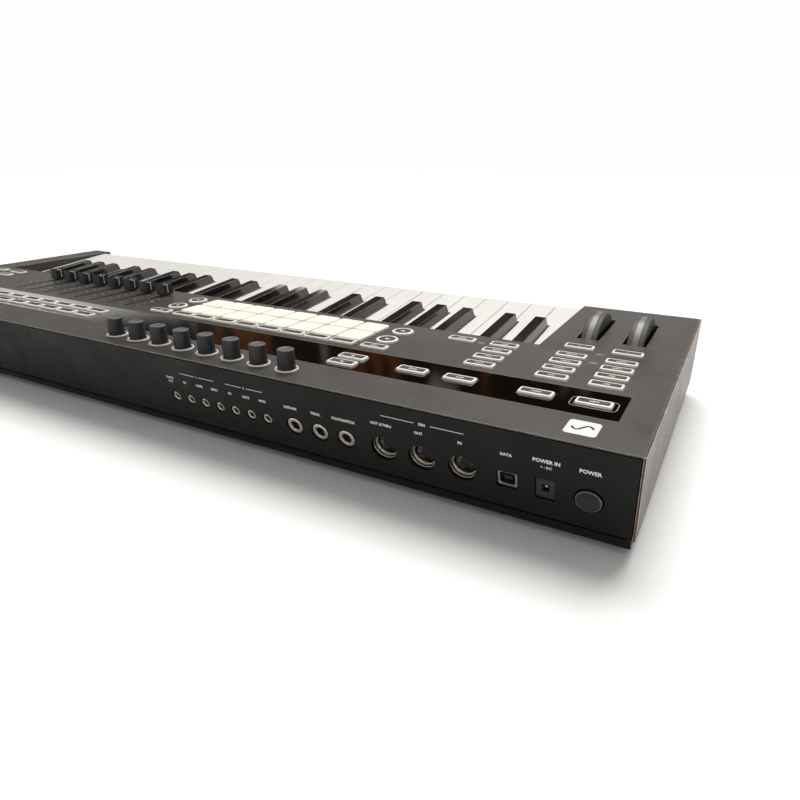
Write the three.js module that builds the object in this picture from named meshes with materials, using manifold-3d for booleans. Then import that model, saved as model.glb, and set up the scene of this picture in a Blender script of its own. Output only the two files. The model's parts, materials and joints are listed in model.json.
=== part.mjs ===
// A 49-key synthesizer with pads, rotary encoders, faders and two wheels, in millimetres, +Z up.
// The origin is the middle of its footprint on the table; +X is the player's right, +Y the back.
// Places on the case are written as u (from the left end of the top panel towards the player's
// right), v (from the back edge of the top panel towards the player) and z (up from the top panel).
import * as THREE from "three";
import { mergeVertices } from "three/addons/utils/BufferGeometryUtils.js";
import Module from "manifold-3d";

// ---- Driving dimensions -------------------------------------------------------------------
const CASE_DEPTH = 300;
const CASE_HEIGHT = 63.8; // top panel to underside of the tray
const FOOT_HEIGHT = 5.2;
const REAR_LEAN = THREE.MathUtils.degToRad(13.56); // the back overhangs its own foot
const FIT = 0.3; // clearance between two pieces that touch
const CHEEK_THICKNESS = 1.7;
const CHEEK_GAP = 6.4; // from the tray's underside up to the cheeks
const CORNER_RADIUS = 11; // lower front corner of cheeks and tray
const PANEL_THICKNESS = 3.5;
const PANEL_SKIRT = 24; // depth of the panel's front and key-side walls
const PANEL_WALL = 2.5;
const PANEL_LIP = 1; // what shows of the panel above the rear panel
const TRAY_WALL = 2.5;
const TRAY_LIP = 7.63; // what shows of the tray under the rear panel
const REAR_THICKNESS = 2;
const BOARD_THICKNESS = 1.6;

// Keys
const KEY_PITCH = 23.5;
const OCTAVES = 4;
const KEYS_LEFT = 101; // u of the lowest key's left side
const KEYS_BACK = 157; // v where the panel ends above the keys
const KEYS_SETBACK = 9; // from the keys' front to the player's edge of the case
const KEYS_MARGIN = 30.5; // from the highest key to the right end of the panel
const KEY_GAP = 0.9; // between two white keys
const KEY_SLOPE = 0.1016; // the keys rise towards the player
const KEY_TOP = -0.8; // z of a white key's top at its front
const KEY_FRONT_HEIGHT = 20;
const KEY_WALL = 1.8;
const KEY_TAIL = 120; // v of the keys' back ends
const KEY_TAIL_BOTTOM = -31;
const KEY_SIDE_CLEARANCE = 0.7;
const SHARP_WIDTH = 13;
const SHARP_TOP_WIDTH = 9.6;
const SHARP_HEIGHT = 8.5; // above the white keys
const SHARP_SETBACK = 54.5; // from the white keys' front to the sharps' front
const SHARP_FRONT_RUN = 4;
const SHARP_CLEARANCE = 0.6;
const SHARP_FRONT_CLEARANCE = 1.7; // a pressed sharp swings towards the player
const PIVOT_V = 128;
const PIVOT_Z = -27;
const PIVOT_RADIUS = 2;

// Controls on the top panel
const KNOB_COUNT = 8;
const CHANNEL_PITCH = 24.65; // knobs, pads and faders share it
const KNOB_U = 233.6;
const KNOB_V = 18.7;
const KNOB_RADIUS = 6.3;
const KNOB_HEIGHT = 14.3;
const RING_INNER = 7.1;
const RING_OUTER = 8.1;
const RING_SIDES = 14;
const WINDOW = { margin: 18, v0: 36.5, v1: 78.5, thickness: 2, seat: 3 };
const BUTTON = { width: 21.7, depth: 9.4, height: 1.5 };
const BUTTON_ROW = 16.6;
const BUTTON_ROW_V = 90.6;
const ARROW_RADIUS = 8.8;
const PAD_SIZE = 22.8;
const PAD_V = 97;
const PAD_RISE = 2;
const PAD_COUNT = 8;
const MAT = { top: -5.5, bottom: -6.5 };
const BUTTON_TRAVEL = 1;
const PAD_SHIFT = 2.4; // from the first knob to the first pad column
const SIDE_GAP = 28.5; // from an outer pad column to the buttons beside it
const FADER_GAP = 50.45; // from the buttons right of the pads to the first fader
const LAST_PAIR_SHIFT = 3; // the strip's last pair stands this much further on
const TRANSPORT_GAP = 40; // least from the strip's last pair to the transport buttons
const FADER_SLOT = { width: 4, v0: 88, v1: 146 };
const FADER_REST_V = 139;
const FADER_CAP = { width: 10, depth: 13, height: 12.5 };
const LEFT_U = [36.4, 71.5]; // the wheels and the button columns behind them
const MIDDLE_U = 122.3; // the column beside them
const SINGLE_U = 157; // the button on its own
const FIFTH_ROW = 23.8; // from the fourth row of buttons to the fifth
const WHEEL_SETBACK = 76; // from the wheels' axle to the player's edge of the case
const WHEEL_RADIUS = 43;
const WHEEL_RISE = 13.5;
const WHEEL_WIDTH = 12.5;
const WHEEL_SLOT_WIDTH = 17.5;
const AXLE_RADIUS = 2.5;

// Sockets on the rear panel, at w down the panel
const SOCKET_W = 37.4;
const PATCH = { u: 245.9, pitch: 14.8, count: 7, bore: 1.8, nose: 3.8, hole: 4.3 };
const PEDAL = { u: 180, pitch: 21, count: 3, bore: 3.2, nose: 6.2, hole: 7 };
const DIN = { u: 98.3, pitch: 26.7, count: 3, bore: 7, nose: 8.9, hole: 9.3, recess: 2.5 };
const USB = { u: 70.3, width: 12, height: 11, mouthWidth: 8.6, mouthHeight: 7.9 };
const DC = { u: 48, width: 11, height: 14, bore: 2.9 };
const POWER = { u: 24, radius: 7.4, hole: 8.4, travel: 3 };
const SOCKET_DEPTH = 14;
const SOCKET_BOARD = { margin: 10, w0: 26, w1: 50 };
const FEET = { u: 45, rear: 62, front: 38, radius: 10, stem: 2.7 };

// ---- Values that follow -------------------------------------------------------------------
const WHITE_COUNT = 7 * OCTAVES + 1;
const KEYS_RIGHT = KEYS_LEFT + WHITE_COUNT * KEY_PITCH;
const KEYS_FRONT = CASE_DEPTH - KEYS_SETBACK;
const SHARP_FRONT = KEYS_FRONT - SHARP_SETBACK;
const WHEEL_V = CASE_DEPTH - WHEEL_SETBACK;
const channelU = (start, i) => start + i * CHANNEL_PITCH;
const PAD_U = KNOB_U + PAD_SHIFT; // centre of the first pad column
const SIDE_U = PAD_U - SIDE_GAP;
const RIGHT_SIDE_U = channelU(PAD_U, PAD_COUNT - 1) + SIDE_GAP;
const FADER_U = RIGHT_SIDE_U + FADER_GAP;
const LAST_PAIR_U = channelU(FADER_U, KNOB_COUNT) + LAST_PAIR_SHIFT;
const CONTROLS_RIGHT = LAST_PAIR_U + TRANSPORT_GAP + Math.max(...LEFT_U);
const PANEL_WIDTH = Math.max(KEYS_RIGHT + KEYS_MARGIN, CONTROLS_RIGHT); // keys or controls
const CASE_WIDTH = PANEL_WIDTH + 2 * (CHEEK_THICKNESS + FIT);
const CHEEK_DROP = CASE_HEIGHT - CHEEK_GAP;
const TRAY_SEAM = CASE_HEIGHT / Math.cos(REAR_LEAN) - TRAY_LIP; // down the rear panel
const TRAY_FLOOR = -CASE_HEIGHT + TRAY_WALL;
const BOARD_TOP = MAT.bottom - BUTTON_TRAVEL - 0.9;
const TRAY_TOP = -PANEL_THICKNESS - FIT;
const WHEEL_Z = WHEEL_RISE - WHEEL_RADIUS;
const WHEEL_HALF_SLOT = Math.sqrt(WHEEL_RADIUS ** 2 - (WHEEL_Z + PANEL_THICKNESS) ** 2) + 1;
const keyTopAt = (v) => KEY_TOP - (KEYS_FRONT - v) * KEY_SLOPE;
const mirrored = (u) => PANEL_WIDTH - u;

const beyond = 5; // how far a cutting tool runs past what it cuts

const wasm = await Module();
wasm.setup();

// ---- Shapes -------------------------------------------------------------------------------
// A closed three.js geometry as a manifold-3d solid.
function solid(geometry) {
  const bare = geometry.index ? geometry.toNonIndexed() : geometry.clone();
  bare.deleteAttribute("normal");
  bare.deleteAttribute("uv");
  const merged = mergeVertices(bare, 1e-4);
  return new wasm.Manifold(
    new wasm.Mesh({
      numProp: 3,
      vertProperties: new Float32Array(merged.attributes.position.array),
      triVerts: new Uint32Array(merged.index.array),
    }),
  );
}

// A box between two values of u, of v and of z. In the case group y is -v.
function block(u0, u1, v0, v1, z0, z1) {
  const box = new THREE.BoxGeometry(u1 - u0, v1 - v0, z1 - z0);
  return solid(box.translate((u0 + u1) / 2, -(v0 + v1) / 2, (z0 + z1) / 2));
}

// A side profile of [v, z] points, or a THREE.Shape of [-v, z], carried from u0 to u1.
function profile(outline, u0, u1) {
  const shape =
    outline instanceof THREE.Shape
      ? outline
      : new THREE.Shape(outline.map(([v, z]) => new THREE.Vector2(-v, z)));
  const geometry = new THREE.ExtrudeGeometry(shape, {
    depth: u1 - u0,
    bevelEnabled: false,
    curveSegments: 5,
  });
  const turn = new THREE.Matrix4().set(0, 0, 1, u0, 1, 0, 0, 0, 0, 1, 0, 0, 0, 0, 0, 1);
  return solid(geometry.applyMatrix4(turn));
}

// An upright cylinder.
function post(u, v, z0, z1, radius, sides = 16) {
  const rod = new THREE.CylinderGeometry(radius, radius, z1 - z0, sides);
  return solid(rod.rotateX(Math.PI / 2).translate(u, -v, (z0 + z1) / 2));
}

// A body turned about an upright axis, from [radius, z] points that start and end on it.
function turned(u, v, points, sides) {
  const line = points.map(([r, z]) => new THREE.Vector2(r, z));
  const lathe = new THREE.LatheGeometry(line, sides);
  return solid(lathe.rotateX(Math.PI / 2).translate(u, -v, 0));
}

// A cylinder lying along u.
function axle(v, z, u0, u1, radius, sides = 12) {
  const rod = new THREE.CylinderGeometry(radius, radius, u1 - u0, sides);
  return solid(rod.rotateZ(Math.PI / 2).translate((u0 + u1) / 2, -v, z));
}

const join = (pieces) => pieces.reduce((all, piece) => all.add(piece));
const cut = (body, tools) => tools.reduce((left, tool) => left.subtract(tool), body);
const series = (count, start, pitch) => Array.from({ length: count }, (_, i) => start + i * pitch);

const caseGroup = new THREE.Group();
caseGroup.position.set(-PANEL_WIDTH / 2, CASE_DEPTH / 2, FOOT_HEIGHT + CASE_HEIGHT);

// The rear panel's own frame: x along u, y out of the panel, z up along it.
const rearGroup = new THREE.Group();
rearGroup.rotation.x = -REAR_LEAN;
caseGroup.add(rearGroup);

function addPiece(name, body, colour, roughness, metalness = 0, group = caseGroup) {
  const { vertProperties, triVerts, numProp } = body.getMesh();
  const positions = new Float32Array((vertProperties.length / numProp) * 3);
  for (let i = 0; i < positions.length / 3; i += 1) {
    positions.set(vertProperties.subarray(i * numProp, i * numProp + 3), i * 3);
  }
  const geometry = new THREE.BufferGeometry();
  geometry.setAttribute("position", new THREE.BufferAttribute(positions, 3));
  geometry.setIndex(new THREE.BufferAttribute(triVerts, 1));
  geometry.computeVertexNormals();
  const material = new THREE.MeshStandardMaterial({ color: colour, roughness, metalness });
  const mesh = new THREE.Mesh(geometry, material);
  mesh.name = name;
  group.add(mesh);
}

// ---- Where the controls are ---------------------------------------------------------------
const button = (u, v) => ({ u, v, round: false });
const arrow = (u, v) => ({ u, v, round: true });
const rowV = (row) => BUTTON_ROW_V + row * BUTTON_ROW;
const ARROW_V = [PAD_V + 13, PAD_V + 38.5];
const UPPER_STRIP_V = 47.2;
const LOWER_STRIP_V = 61.2;
const STRIP_V = 57;

const ROWS = [0, 1, 2, 3];
const leftButtons = LEFT_U.flatMap((u) => [
  ...ROWS.map((row) => button(u, rowV(row))),
  button(u, rowV(3) + FIFTH_ROW),
]);
leftButtons.push(...ROWS.map((row) => button(MIDDLE_U, rowV(row))), button(SINGLE_U, rowV(3)));

const stripButtons = [...LEFT_U, MIDDLE_U, SINGLE_U].map((u) => button(u, STRIP_V));
const stripPairs = [SIDE_U, ...series(KNOB_COUNT, FADER_U, CHANNEL_PITCH), LAST_PAIR_U];
for (const u of stripPairs) {
  stripButtons.push(button(u, UPPER_STRIP_V), button(u, LOWER_STRIP_V));
}

const sideColumns = [SIDE_U, RIGHT_SIDE_U];
const softButtons = series(PAD_COUNT, PAD_U, CHANNEL_PITCH).map((u) => button(u, rowV(0)));
const sideButtons = sideColumns.flatMap((u) => [
  button(u, rowV(0)),
  ...ARROW_V.map((v) => arrow(u, v)),
]);

const transportU = LEFT_U.map(mirrored);
const transportButtons = transportU.flatMap((u) => ROWS.slice(1).map((row) => button(u, rowV(row))));

// The upright body of one button.
function buttonBody({ u, v, round }) {
  if (round) return post(u, v, MAT.bottom, BUTTON.height, ARROW_RADIUS, 14);
  const [halfU, halfV] = [BUTTON.width / 2, BUTTON.depth / 2];
  return block(u - halfU, u + halfU, v - halfV, v + halfV, MAT.bottom, BUTTON.height);
}

// The opening that a button comes up through.
function buttonHole({ u, v, round }) {
  const [z0, z1] = [-PANEL_THICKNESS - 1, beyond];
  if (round) return post(u, v, z0, z1, ARROW_RADIUS + FIT, 14);
  const [halfU, halfV] = [BUTTON.width / 2 + FIT, BUTTON.depth / 2 + FIT];
  return block(u - halfU, u + halfU, v - halfV, v + halfV, z0, z1);
}

const padCentres = [0, 1].flatMap((row) =>
  series(PAD_COUNT, PAD_U, CHANNEL_PITCH).map((u) => ({
    u,
    v: PAD_V + PAD_SIZE / 2 + row * CHANNEL_PITCH,
  })),
);

function padBody({ u, v }) {
  const half = PAD_SIZE / 2;
  return block(u - half, u + half, v - half, v + half, MAT.bottom, PAD_RISE);
}

// A silicone mat: one thin web with its buttons standing on it.
function mat(buttons, links) {
  const bodies = buttons.map(buttonBody);
  const webs = links.map(([u0, u1, v0, v1]) => block(u0, u1, v0, v1, MAT.bottom, MAT.top));
  return join([...webs, ...bodies]);
}

// ---- Case ---------------------------------------------------------------------------------
const keyWell = { u0: KEYS_LEFT - KEY_SIDE_CLEARANCE, u1: KEYS_RIGHT + KEY_SIDE_CLEARANCE };
const knobUs = series(KNOB_COUNT, KNOB_U, CHANNEL_PITCH);
const faderUs = series(KNOB_COUNT, FADER_U, CHANNEL_PITCH);

// Everything behind the rear panel's plane, moved inwards along it by a distance.
function behindRear(inset) {
  const tool = new THREE.BoxGeometry(CASE_WIDTH * 2, 60, CASE_HEIGHT * 4);
  tool.translate(0, 30 - inset, 0).rotateX(-REAR_LEAN).translate(CASE_WIDTH / 2, 0, 0);
  return solid(tool);
}

function sideShape(frontV, bottom, radius) {
  const shape = new THREE.Shape();
  shape.moveTo(bottom * Math.tan(REAR_LEAN), bottom);
  shape.lineTo(radius - frontV, bottom);
  shape.absarc(radius - frontV, bottom + radius, radius, -Math.PI / 2, -Math.PI, true);
  shape.lineTo(-frontV, 0);
  shape.lineTo(0, 0);
  return shape;
}

function topPanel() {
  const [left, right] = [keyWell.u0, keyWell.u1];
  const plate = block(0, PANEL_WIDTH, 0, CASE_DEPTH, -PANEL_THICKNESS, 0);
  const skirts = [
    block(0, left, CASE_DEPTH - PANEL_WALL, CASE_DEPTH, -PANEL_SKIRT, 0),
    block(right, PANEL_WIDTH, CASE_DEPTH - PANEL_WALL, CASE_DEPTH, -PANEL_SKIRT, 0),
    block(left - PANEL_WALL, left, KEYS_BACK, CASE_DEPTH, -PANEL_SKIRT, 0),
    block(right, right + PANEL_WALL, KEYS_BACK, CASE_DEPTH, -PANEL_SKIRT, 0),
  ];
  const well = block(left, right, KEYS_BACK, CASE_DEPTH + beyond, -CASE_HEIGHT, beyond);
  const rebate = block(-beyond, PANEL_WIDTH + beyond, -beyond, 4, -PANEL_THICKNESS - 1, -PANEL_LIP);
  const { margin, v0, v1, thickness, seat } = WINDOW;
  const [u0, u1] = [margin, mirrored(margin)];
  const pocket = block(u0, u1, v0, v1, -thickness - FIT, beyond);
  const underWindow = block(u0 + seat, u1 - seat, v0 + seat, v1 - seat, -CASE_HEIGHT, 0);
  const through = [
    ...[...leftButtons, ...sideButtons, ...transportButtons].map(buttonHole),
    softButtonSlot(),
    ...knobUs.map((u) => post(u, KNOB_V, -PANEL_THICKNESS - 1, beyond, RING_OUTER + FIT, RING_SIDES)),
    ...faderUs.map((u) => faderSlot(u, -PANEL_THICKNESS - 1, beyond)),
    ...LEFT_U.map(wheelSlot),
    padField(-PANEL_THICKNESS - 1, beyond, FIT),
  ];
  return cut(join([plate, ...skirts]), [well, rebate, pocket, underWindow, ...through, behindRear(0)]);
}

function faderSlot(u, z0, z1) {
  const half = FADER_SLOT.width / 2;
  return block(u - half, u + half, FADER_SLOT.v0, FADER_SLOT.v1, z0, z1);
}

function wheelSlot(u) {
  const half = WHEEL_SLOT_WIDTH / 2;
  const [v0, v1] = [WHEEL_V - WHEEL_HALF_SLOT, WHEEL_V + WHEEL_HALF_SLOT];
  return block(u - half, u + half, v0, v1, -PANEL_THICKNESS - 1, beyond);
}

// The one opening that the row of buttons behind the pads comes up through.
function softButtonSlot() {
  const [halfU, halfV] = [BUTTON.width / 2 + FIT, BUTTON.depth / 2 + FIT];
  const last = channelU(PAD_U, PAD_COUNT - 1);
  return block(PAD_U - halfU, last + halfU, rowV(0) - halfV, rowV(0) + halfV, -PANEL_THICKNESS - 1, beyond);
}

// The one opening that all the pads come up through.
function padField(z0, z1, grow) {
  const half = PAD_SIZE / 2 + grow;
  const [first, last] = [padCentres[0], padCentres[padCentres.length - 1]];
  return block(first.u - half, last.u + half, first.v - half, last.v + half, z0, z1);
}

function bottomTray() {
  const right = PANEL_WIDTH;
  const outer = profile(sideShape(CASE_DEPTH, -CASE_HEIGHT, CORNER_RADIUS), 0, right);
  const inner = profile(
    sideShape(CASE_DEPTH - TRAY_WALL, -CASE_HEIGHT + TRAY_WALL, CORNER_RADIUS - TRAY_WALL),
    TRAY_WALL,
    right - TRAY_WALL,
  );
  const lipTop = -TRAY_SEAM * Math.cos(REAR_LEAN) - FIT;
  const overFront = block(-beyond, right + beyond, KEYS_BACK, CASE_DEPTH + beyond, -PANEL_SKIRT - FIT, 1);
  const overAll = block(-beyond, right + beyond, -beyond, CASE_DEPTH + beyond, TRAY_TOP, 1);
  const overRear = block(-beyond, right + beyond, -beyond, 30, lipTop, 1);
  const stems = FEET_PLACES.map(([u, v]) => post(u, v, -CASE_HEIGHT - 1, TRAY_FLOOR + 1, FEET.stem + FIT, 12));
  return cut(outer, [inner, overFront, overAll, overRear, ...stems]);
}

const FEET_PLACES = [FEET.rear, CASE_DEPTH - FEET.front].flatMap((v) => [
  [FEET.u, v],
  [mirrored(FEET.u), v],
]);

function foot([u, v]) {
  const under = -CASE_HEIGHT - FIT;
  const floor = -CASE_HEIGHT - FOOT_HEIGHT;
  const points = [
    [0, floor],
    [FEET.radius - 1, floor],
    [FEET.radius, floor + 1],
    [FEET.radius, under],
    [FEET.stem, under],
    [FEET.stem, TRAY_FLOOR + 1],
    [0, TRAY_FLOOR + 1],
  ];
  return turned(u, v, points, 14);
}

// A plate on the rear group's own axes: from x0 to x1, y0 to y1 and w0 to w1 down the panel.
function rearBlock(x0, x1, y0, y1, w0, w1) {
  const box = new THREE.BoxGeometry(x1 - x0, y1 - y0, w1 - w0);
  return solid(box.translate((x0 + x1) / 2, (y0 + y1) / 2, -(w0 + w1) / 2));
}

// A cylinder square to the rear panel.
function rearPost(x, w, y0, y1, radius, sides = 14) {
  const rod = new THREE.CylinderGeometry(radius, radius, y1 - y0, sides);
  return solid(rod.translate(x, (y0 + y1) / 2, -w));
}

const rowOf = ({ u, pitch, count }) => series(count, u, pitch);

function rearPanel() {
  const top = (PANEL_LIP + REAR_THICKNESS * Math.sin(REAR_LEAN)) / Math.cos(REAR_LEAN) + FIT;
  const plate = rearBlock(FIT, PANEL_WIDTH - FIT, -REAR_THICKNESS, 0, top, TRAY_SEAM);
  const depth = [-REAR_THICKNESS - 1, 1];
  const holes = [PATCH, PEDAL, DIN].flatMap((row) =>
    rowOf(row).map((u) => rearPost(u, SOCKET_W, ...depth, row.hole)),
  );
  for (const { u, width, height } of [USB, DC]) {
    const [halfU, halfW] = [width / 2 + FIT, height / 2 + FIT];
    holes.push(rearBlock(u - halfU, u + halfU, ...depth, SOCKET_W - halfW, SOCKET_W + halfW));
  }
  holes.push(rearPost(POWER.u, SOCKET_W, ...depth, POWER.hole));
  return cut(plate, holes);
}

// A row of round sockets on one upright board. The noses end at the given y.
function socketRow(row, noseEnd) {
  const us = rowOf(row);
  const back = -SOCKET_DEPTH - BOARD_THICKNESS;
  const { margin, w0, w1 } = SOCKET_BOARD;
  const [first, last] = [us[0] - margin, us[us.length - 1] + margin];
  const board = rearBlock(first, last, back, -SOCKET_DEPTH, w0, w1);
  const barrels = us.map((u) => rearPost(u, SOCKET_W, back, noseEnd, row.nose));
  const bores = us.map((u) => rearPost(u, SOCKET_W, -SOCKET_DEPTH + 1, noseEnd + 1, row.bore));
  return cut(join([board, ...barrels]), bores);
}

function usbSocket() {
  const { u, width, height, mouthWidth, mouthHeight } = USB;
  const shell = rearBlock(
    u - width / 2, u + width / 2, -SOCKET_DEPTH, -0.5, SOCKET_W - height / 2, SOCKET_W + height / 2,
  );
  const mouth = rearBlock(
    u - mouthWidth / 2, u + mouthWidth / 2, -9.5, 1, SOCKET_W - mouthHeight / 2, SOCKET_W + mouthHeight / 2,
  );
  const tongue = rearBlock(u - 2.8, u + 2.8, -10, -2.5, SOCKET_W - 1.6, SOCKET_W + 1.6);
  return shell.subtract(mouth).add(tongue);
}

function dcInlet() {
  const { u, width, height, bore } = DC;
  const shell = rearBlock(
    u - width / 2, u + width / 2, -SOCKET_DEPTH, -1, SOCKET_W - height / 2, SOCKET_W + height / 2,
  );
  const mouth = rearPost(u, SOCKET_W, -10, 1, bore, 16);
  return shell.subtract(mouth).add(rearPost(u, SOCKET_W, -11, -2.5, 1, 8));
}

function powerButton() {
  const cap = rearPost(POWER.u, SOCKET_W, -REAR_THICKNESS - 3, 1.2, POWER.radius, 24);
  return cap.add(rearPost(POWER.u, SOCKET_W, -SOCKET_DEPTH + POWER.travel, -4, 3, 12));
}

// ---- Boards and frames inside -------------------------------------------------------------
const CONTROL_BOARD = { margin: 14, v0: 12, gap: 6, wingU: 90, wingV: 182 };
const MAIN_BOARD = { u0: 16, u1: 420, v0: 40, v1: 112, rise: 9, inset: 10 };
const CHIP = { us: [60, 150, 260, 350], v: 60, size: 18, height: 2 };
const SPACER_RADIUS = 3;
const FRAME = { side: 4, thickness: 2, top: -46, v0: KEY_TAIL - 4, ear: 2.5, earV: 140, earRise: 6 };
const REAR_RAIL = { thickness: 2, top: -36 };
const FRONT_RAIL = { v0: KEYS_FRONT - 23, v1: KEYS_FRONT - 7, top: -37 };
const BRACKET = { side: 14, half: 12, wall: 2, rise: 8 };

// The board under the buttons, with a wing that reaches forward beside the keys.
function controlBoard() {
  const { margin, v0, gap, wingU, wingV } = CONTROL_BOARD;
  const [z0, z1] = [BOARD_TOP - BOARD_THICKNESS, BOARD_TOP];
  const plate = block(margin, mirrored(margin), v0, KEYS_BACK - gap, z0, z1);
  const wing = block(margin, wingU, KEYS_BACK - gap - 1, wingV, z0, z1);
  const slots = faderUs.map((u) => faderSlot(u, z0 - beyond, z1 + beyond));
  return cut(plate.add(wing), slots);
}

function mainBoard() {
  const { u0, u1, v0, v1, rise, inset } = MAIN_BOARD;
  const z0 = rise - CASE_HEIGHT;
  const z1 = z0 + BOARD_THICKNESS;
  const plate = block(u0, u1, v0, v1, z0, z1);
  const chips = CHIP.us.map((u) =>
    block(u, u + CHIP.size, CHIP.v, CHIP.v + CHIP.size, z1 - 0.5, z1 + CHIP.height),
  );
  const spacers = [u0 + inset, u1 - inset].flatMap((u) =>
    [v0 + inset, v1 - inset].map((v) => post(u, v, TRAY_FLOOR + FIT, z0 + 0.5, SPACER_RADIUS, 10)),
  );
  return join([plate, ...chips, ...spacers]);
}

function keyFrame() {
  const { side, thickness, top, v0, ear, earV, earRise } = FRAME;
  const [u0, u1] = [keyWell.u0 - side, keyWell.u1 + side];
  const floor = TRAY_FLOOR + FIT;
  const plate = block(u0, u1, v0, FRONT_RAIL.v1, top - thickness, top);
  const rails = [
    block(u0, u1, v0, v0 + REAR_RAIL.thickness, floor, REAR_RAIL.top),
    block(u0, u1, FRONT_RAIL.v0, FRONT_RAIL.v1, floor, FRONT_RAIL.top),
  ];
  const ears = [u0, u1 - ear].map((u) => block(u, u + ear, v0, earV, top - 1, PIVOT_Z + earRise));
  const seats = axle(PIVOT_V, PIVOT_Z, u0 - 1, u1 + 1, PIVOT_RADIUS + FIT);
  return join([plate, ...rails, ...ears]).subtract(seats);
}

function pivotRod() {
  const end = FRAME.side - FIT;
  return axle(PIVOT_V, PIVOT_Z, keyWell.u0 - end, keyWell.u1 + end, PIVOT_RADIUS, 12);
}

// Three upright walls on a base, which hold the axle of both wheels.
function wheelBracket() {
  const { side, half, wall, rise } = BRACKET;
  const floor = TRAY_FLOOR + FIT;
  const [u0, u1] = [LEFT_U[0] - side, LEFT_U[1] + side];
  const middle = (u0 + u1 - wall) / 2;
  const [v0, v1] = [WHEEL_V - half, WHEEL_V + half];
  const base = block(u0, u1, v0, v1, floor, floor + wall);
  const walls = [u0, middle, u1 - wall].map((u) => block(u, u + wall, v0, v1, floor, WHEEL_Z + rise));
  return join([base, ...walls]).subtract(axle(WHEEL_V, WHEEL_Z, u0 - 1, u1 + 1, AXLE_RADIUS + FIT));
}

function wheelAxle() {
  const end = BRACKET.side + 1;
  return axle(WHEEL_V, WHEEL_Z, LEFT_U[0] - end, LEFT_U[1] + end, AXLE_RADIUS, 12);
}

// A half disc that turns on the axle.
function wheel(u) {
  const half = WHEEL_WIDTH / 2;
  const disc = axle(WHEEL_V, WHEEL_Z, u - half, u + half, WHEEL_RADIUS, 48);
  const reach = WHEEL_RADIUS + 1;
  const lower = block(u - 10, u + 10, WHEEL_V - reach, WHEEL_V + reach, WHEEL_Z - reach, WHEEL_Z - 6);
  return cut(disc, [lower, axle(WHEEL_V, WHEEL_Z, u - 10, u + 10, AXLE_RADIUS + FIT)]);
}

// ---- Controls -----------------------------------------------------------------------------
function screenWindow() {
  const { margin, v0, v1, thickness } = WINDOW;
  const edge = margin + FIT;
  const lens = block(edge, mirrored(edge), v0 + FIT, v1 - FIT, -thickness, 0);
  return cut(lens, stripButtons.map(buttonHole));
}

// A strip under the panel with one upstanding ring for each knob.
function knobRingGuide() {
  const base = -PANEL_THICKNESS - FIT;
  const [u0, u1] = [knobUs[0] - 10, knobUs[KNOB_COUNT - 1] + 10];
  const strip = block(u0, u1, KNOB_V - 10, KNOB_V + 10, base - 1.2, base);
  const rings = knobUs.map((u) => post(u, KNOB_V, base - 1, 0.8, RING_OUTER, RING_SIDES));
  const bores = knobUs.map((u) => post(u, KNOB_V, base - 3, 2, RING_INNER, RING_SIDES));
  return cut(join([strip, ...rings]), bores);
}

function knob(u) {
  const points = [
    [0, BOARD_TOP + FIT],
    [3, BOARD_TOP + FIT],
    [3, 0.6],
    [KNOB_RADIUS, 0.6],
    [KNOB_RADIUS - 0.4, KNOB_HEIGHT - 0.6],
    [KNOB_RADIUS - 1, KNOB_HEIGHT],
    [0, KNOB_HEIGHT],
  ];
  return turned(u, KNOB_V, points, 16);
}

function faderCap(u) {
  const { width, depth, height } = FADER_CAP;
  const v = FADER_REST_V;
  const cap = block(u - width / 2, u + width / 2, v - depth / 2, v + depth / 2, 1, height);
  const grip = axle(v, height + 7, u - width, u + width, 8.5, 20);
  const stem = block(u - 0.7, u + 0.7, v - 2.5, v + 2.5, BOARD_TOP - 4, 2);
  return cap.subtract(grip).add(stem);
}

const padMat = () =>
  join([
    padField(MAT.bottom, MAT.top, -1),
    ...padCentres.map(padBody),
  ]);

const stripMat = () =>
  mat(stripButtons, [
    [LEFT_U[0] - 4, SIDE_U + 4, STRIP_V - 3, STRIP_V + 3],
    ...stripPairs.map((u) => [u - 4, u + 4, UPPER_STRIP_V, LOWER_STRIP_V]),
    [SIDE_U - 4, LAST_PAIR_U + 4, LOWER_STRIP_V - 2, LOWER_STRIP_V + 2],
  ]);

const leftMat = () =>
  mat(leftButtons, [
    ...LEFT_U.map((u) => [u - 4, u + 4, rowV(0), rowV(3) + FIFTH_ROW]),
    [MIDDLE_U - 4, MIDDLE_U + 4, rowV(0), rowV(3)],
    [LEFT_U[0], SINGLE_U, rowV(3) - 3, rowV(3) + 3],
  ]);

const padButtonMat = () =>
  mat([...softButtons, ...sideButtons], [
    [sideColumns[0], sideColumns[1], rowV(0) - 3, rowV(0) + 1],
    ...sideColumns.map((u) => [u - 3, u + 3, rowV(0), ARROW_V[1]]),
  ]);

const transportMat = () =>
  mat(transportButtons, [
    ...transportU.map((u) => [u - 4, u + 4, rowV(1), rowV(3)]),
    [transportU[1], transportU[0], rowV(2) - 3, rowV(2) + 3],
  ]);

// ---- Keys ---------------------------------------------------------------------------------
// Where the sharps of one octave start, so that the tails between them are equally wide.
const tailLow = (3 * KEY_PITCH - 2 * SHARP_WIDTH) / 3;
const tailHigh = (4 * KEY_PITCH - 3 * SHARP_WIDTH) / 4;
const step = (tail) => tail + SHARP_WIDTH;
const sharpStarts = [
  tailLow,
  tailLow + step(tailLow),
  3 * KEY_PITCH + tailHigh,
  3 * KEY_PITCH + tailHigh + step(tailHigh),
  3 * KEY_PITCH + tailHigh + 2 * step(tailHigh),
];
const octaveU = (octave) => KEYS_LEFT + octave * 7 * KEY_PITCH;

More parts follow.
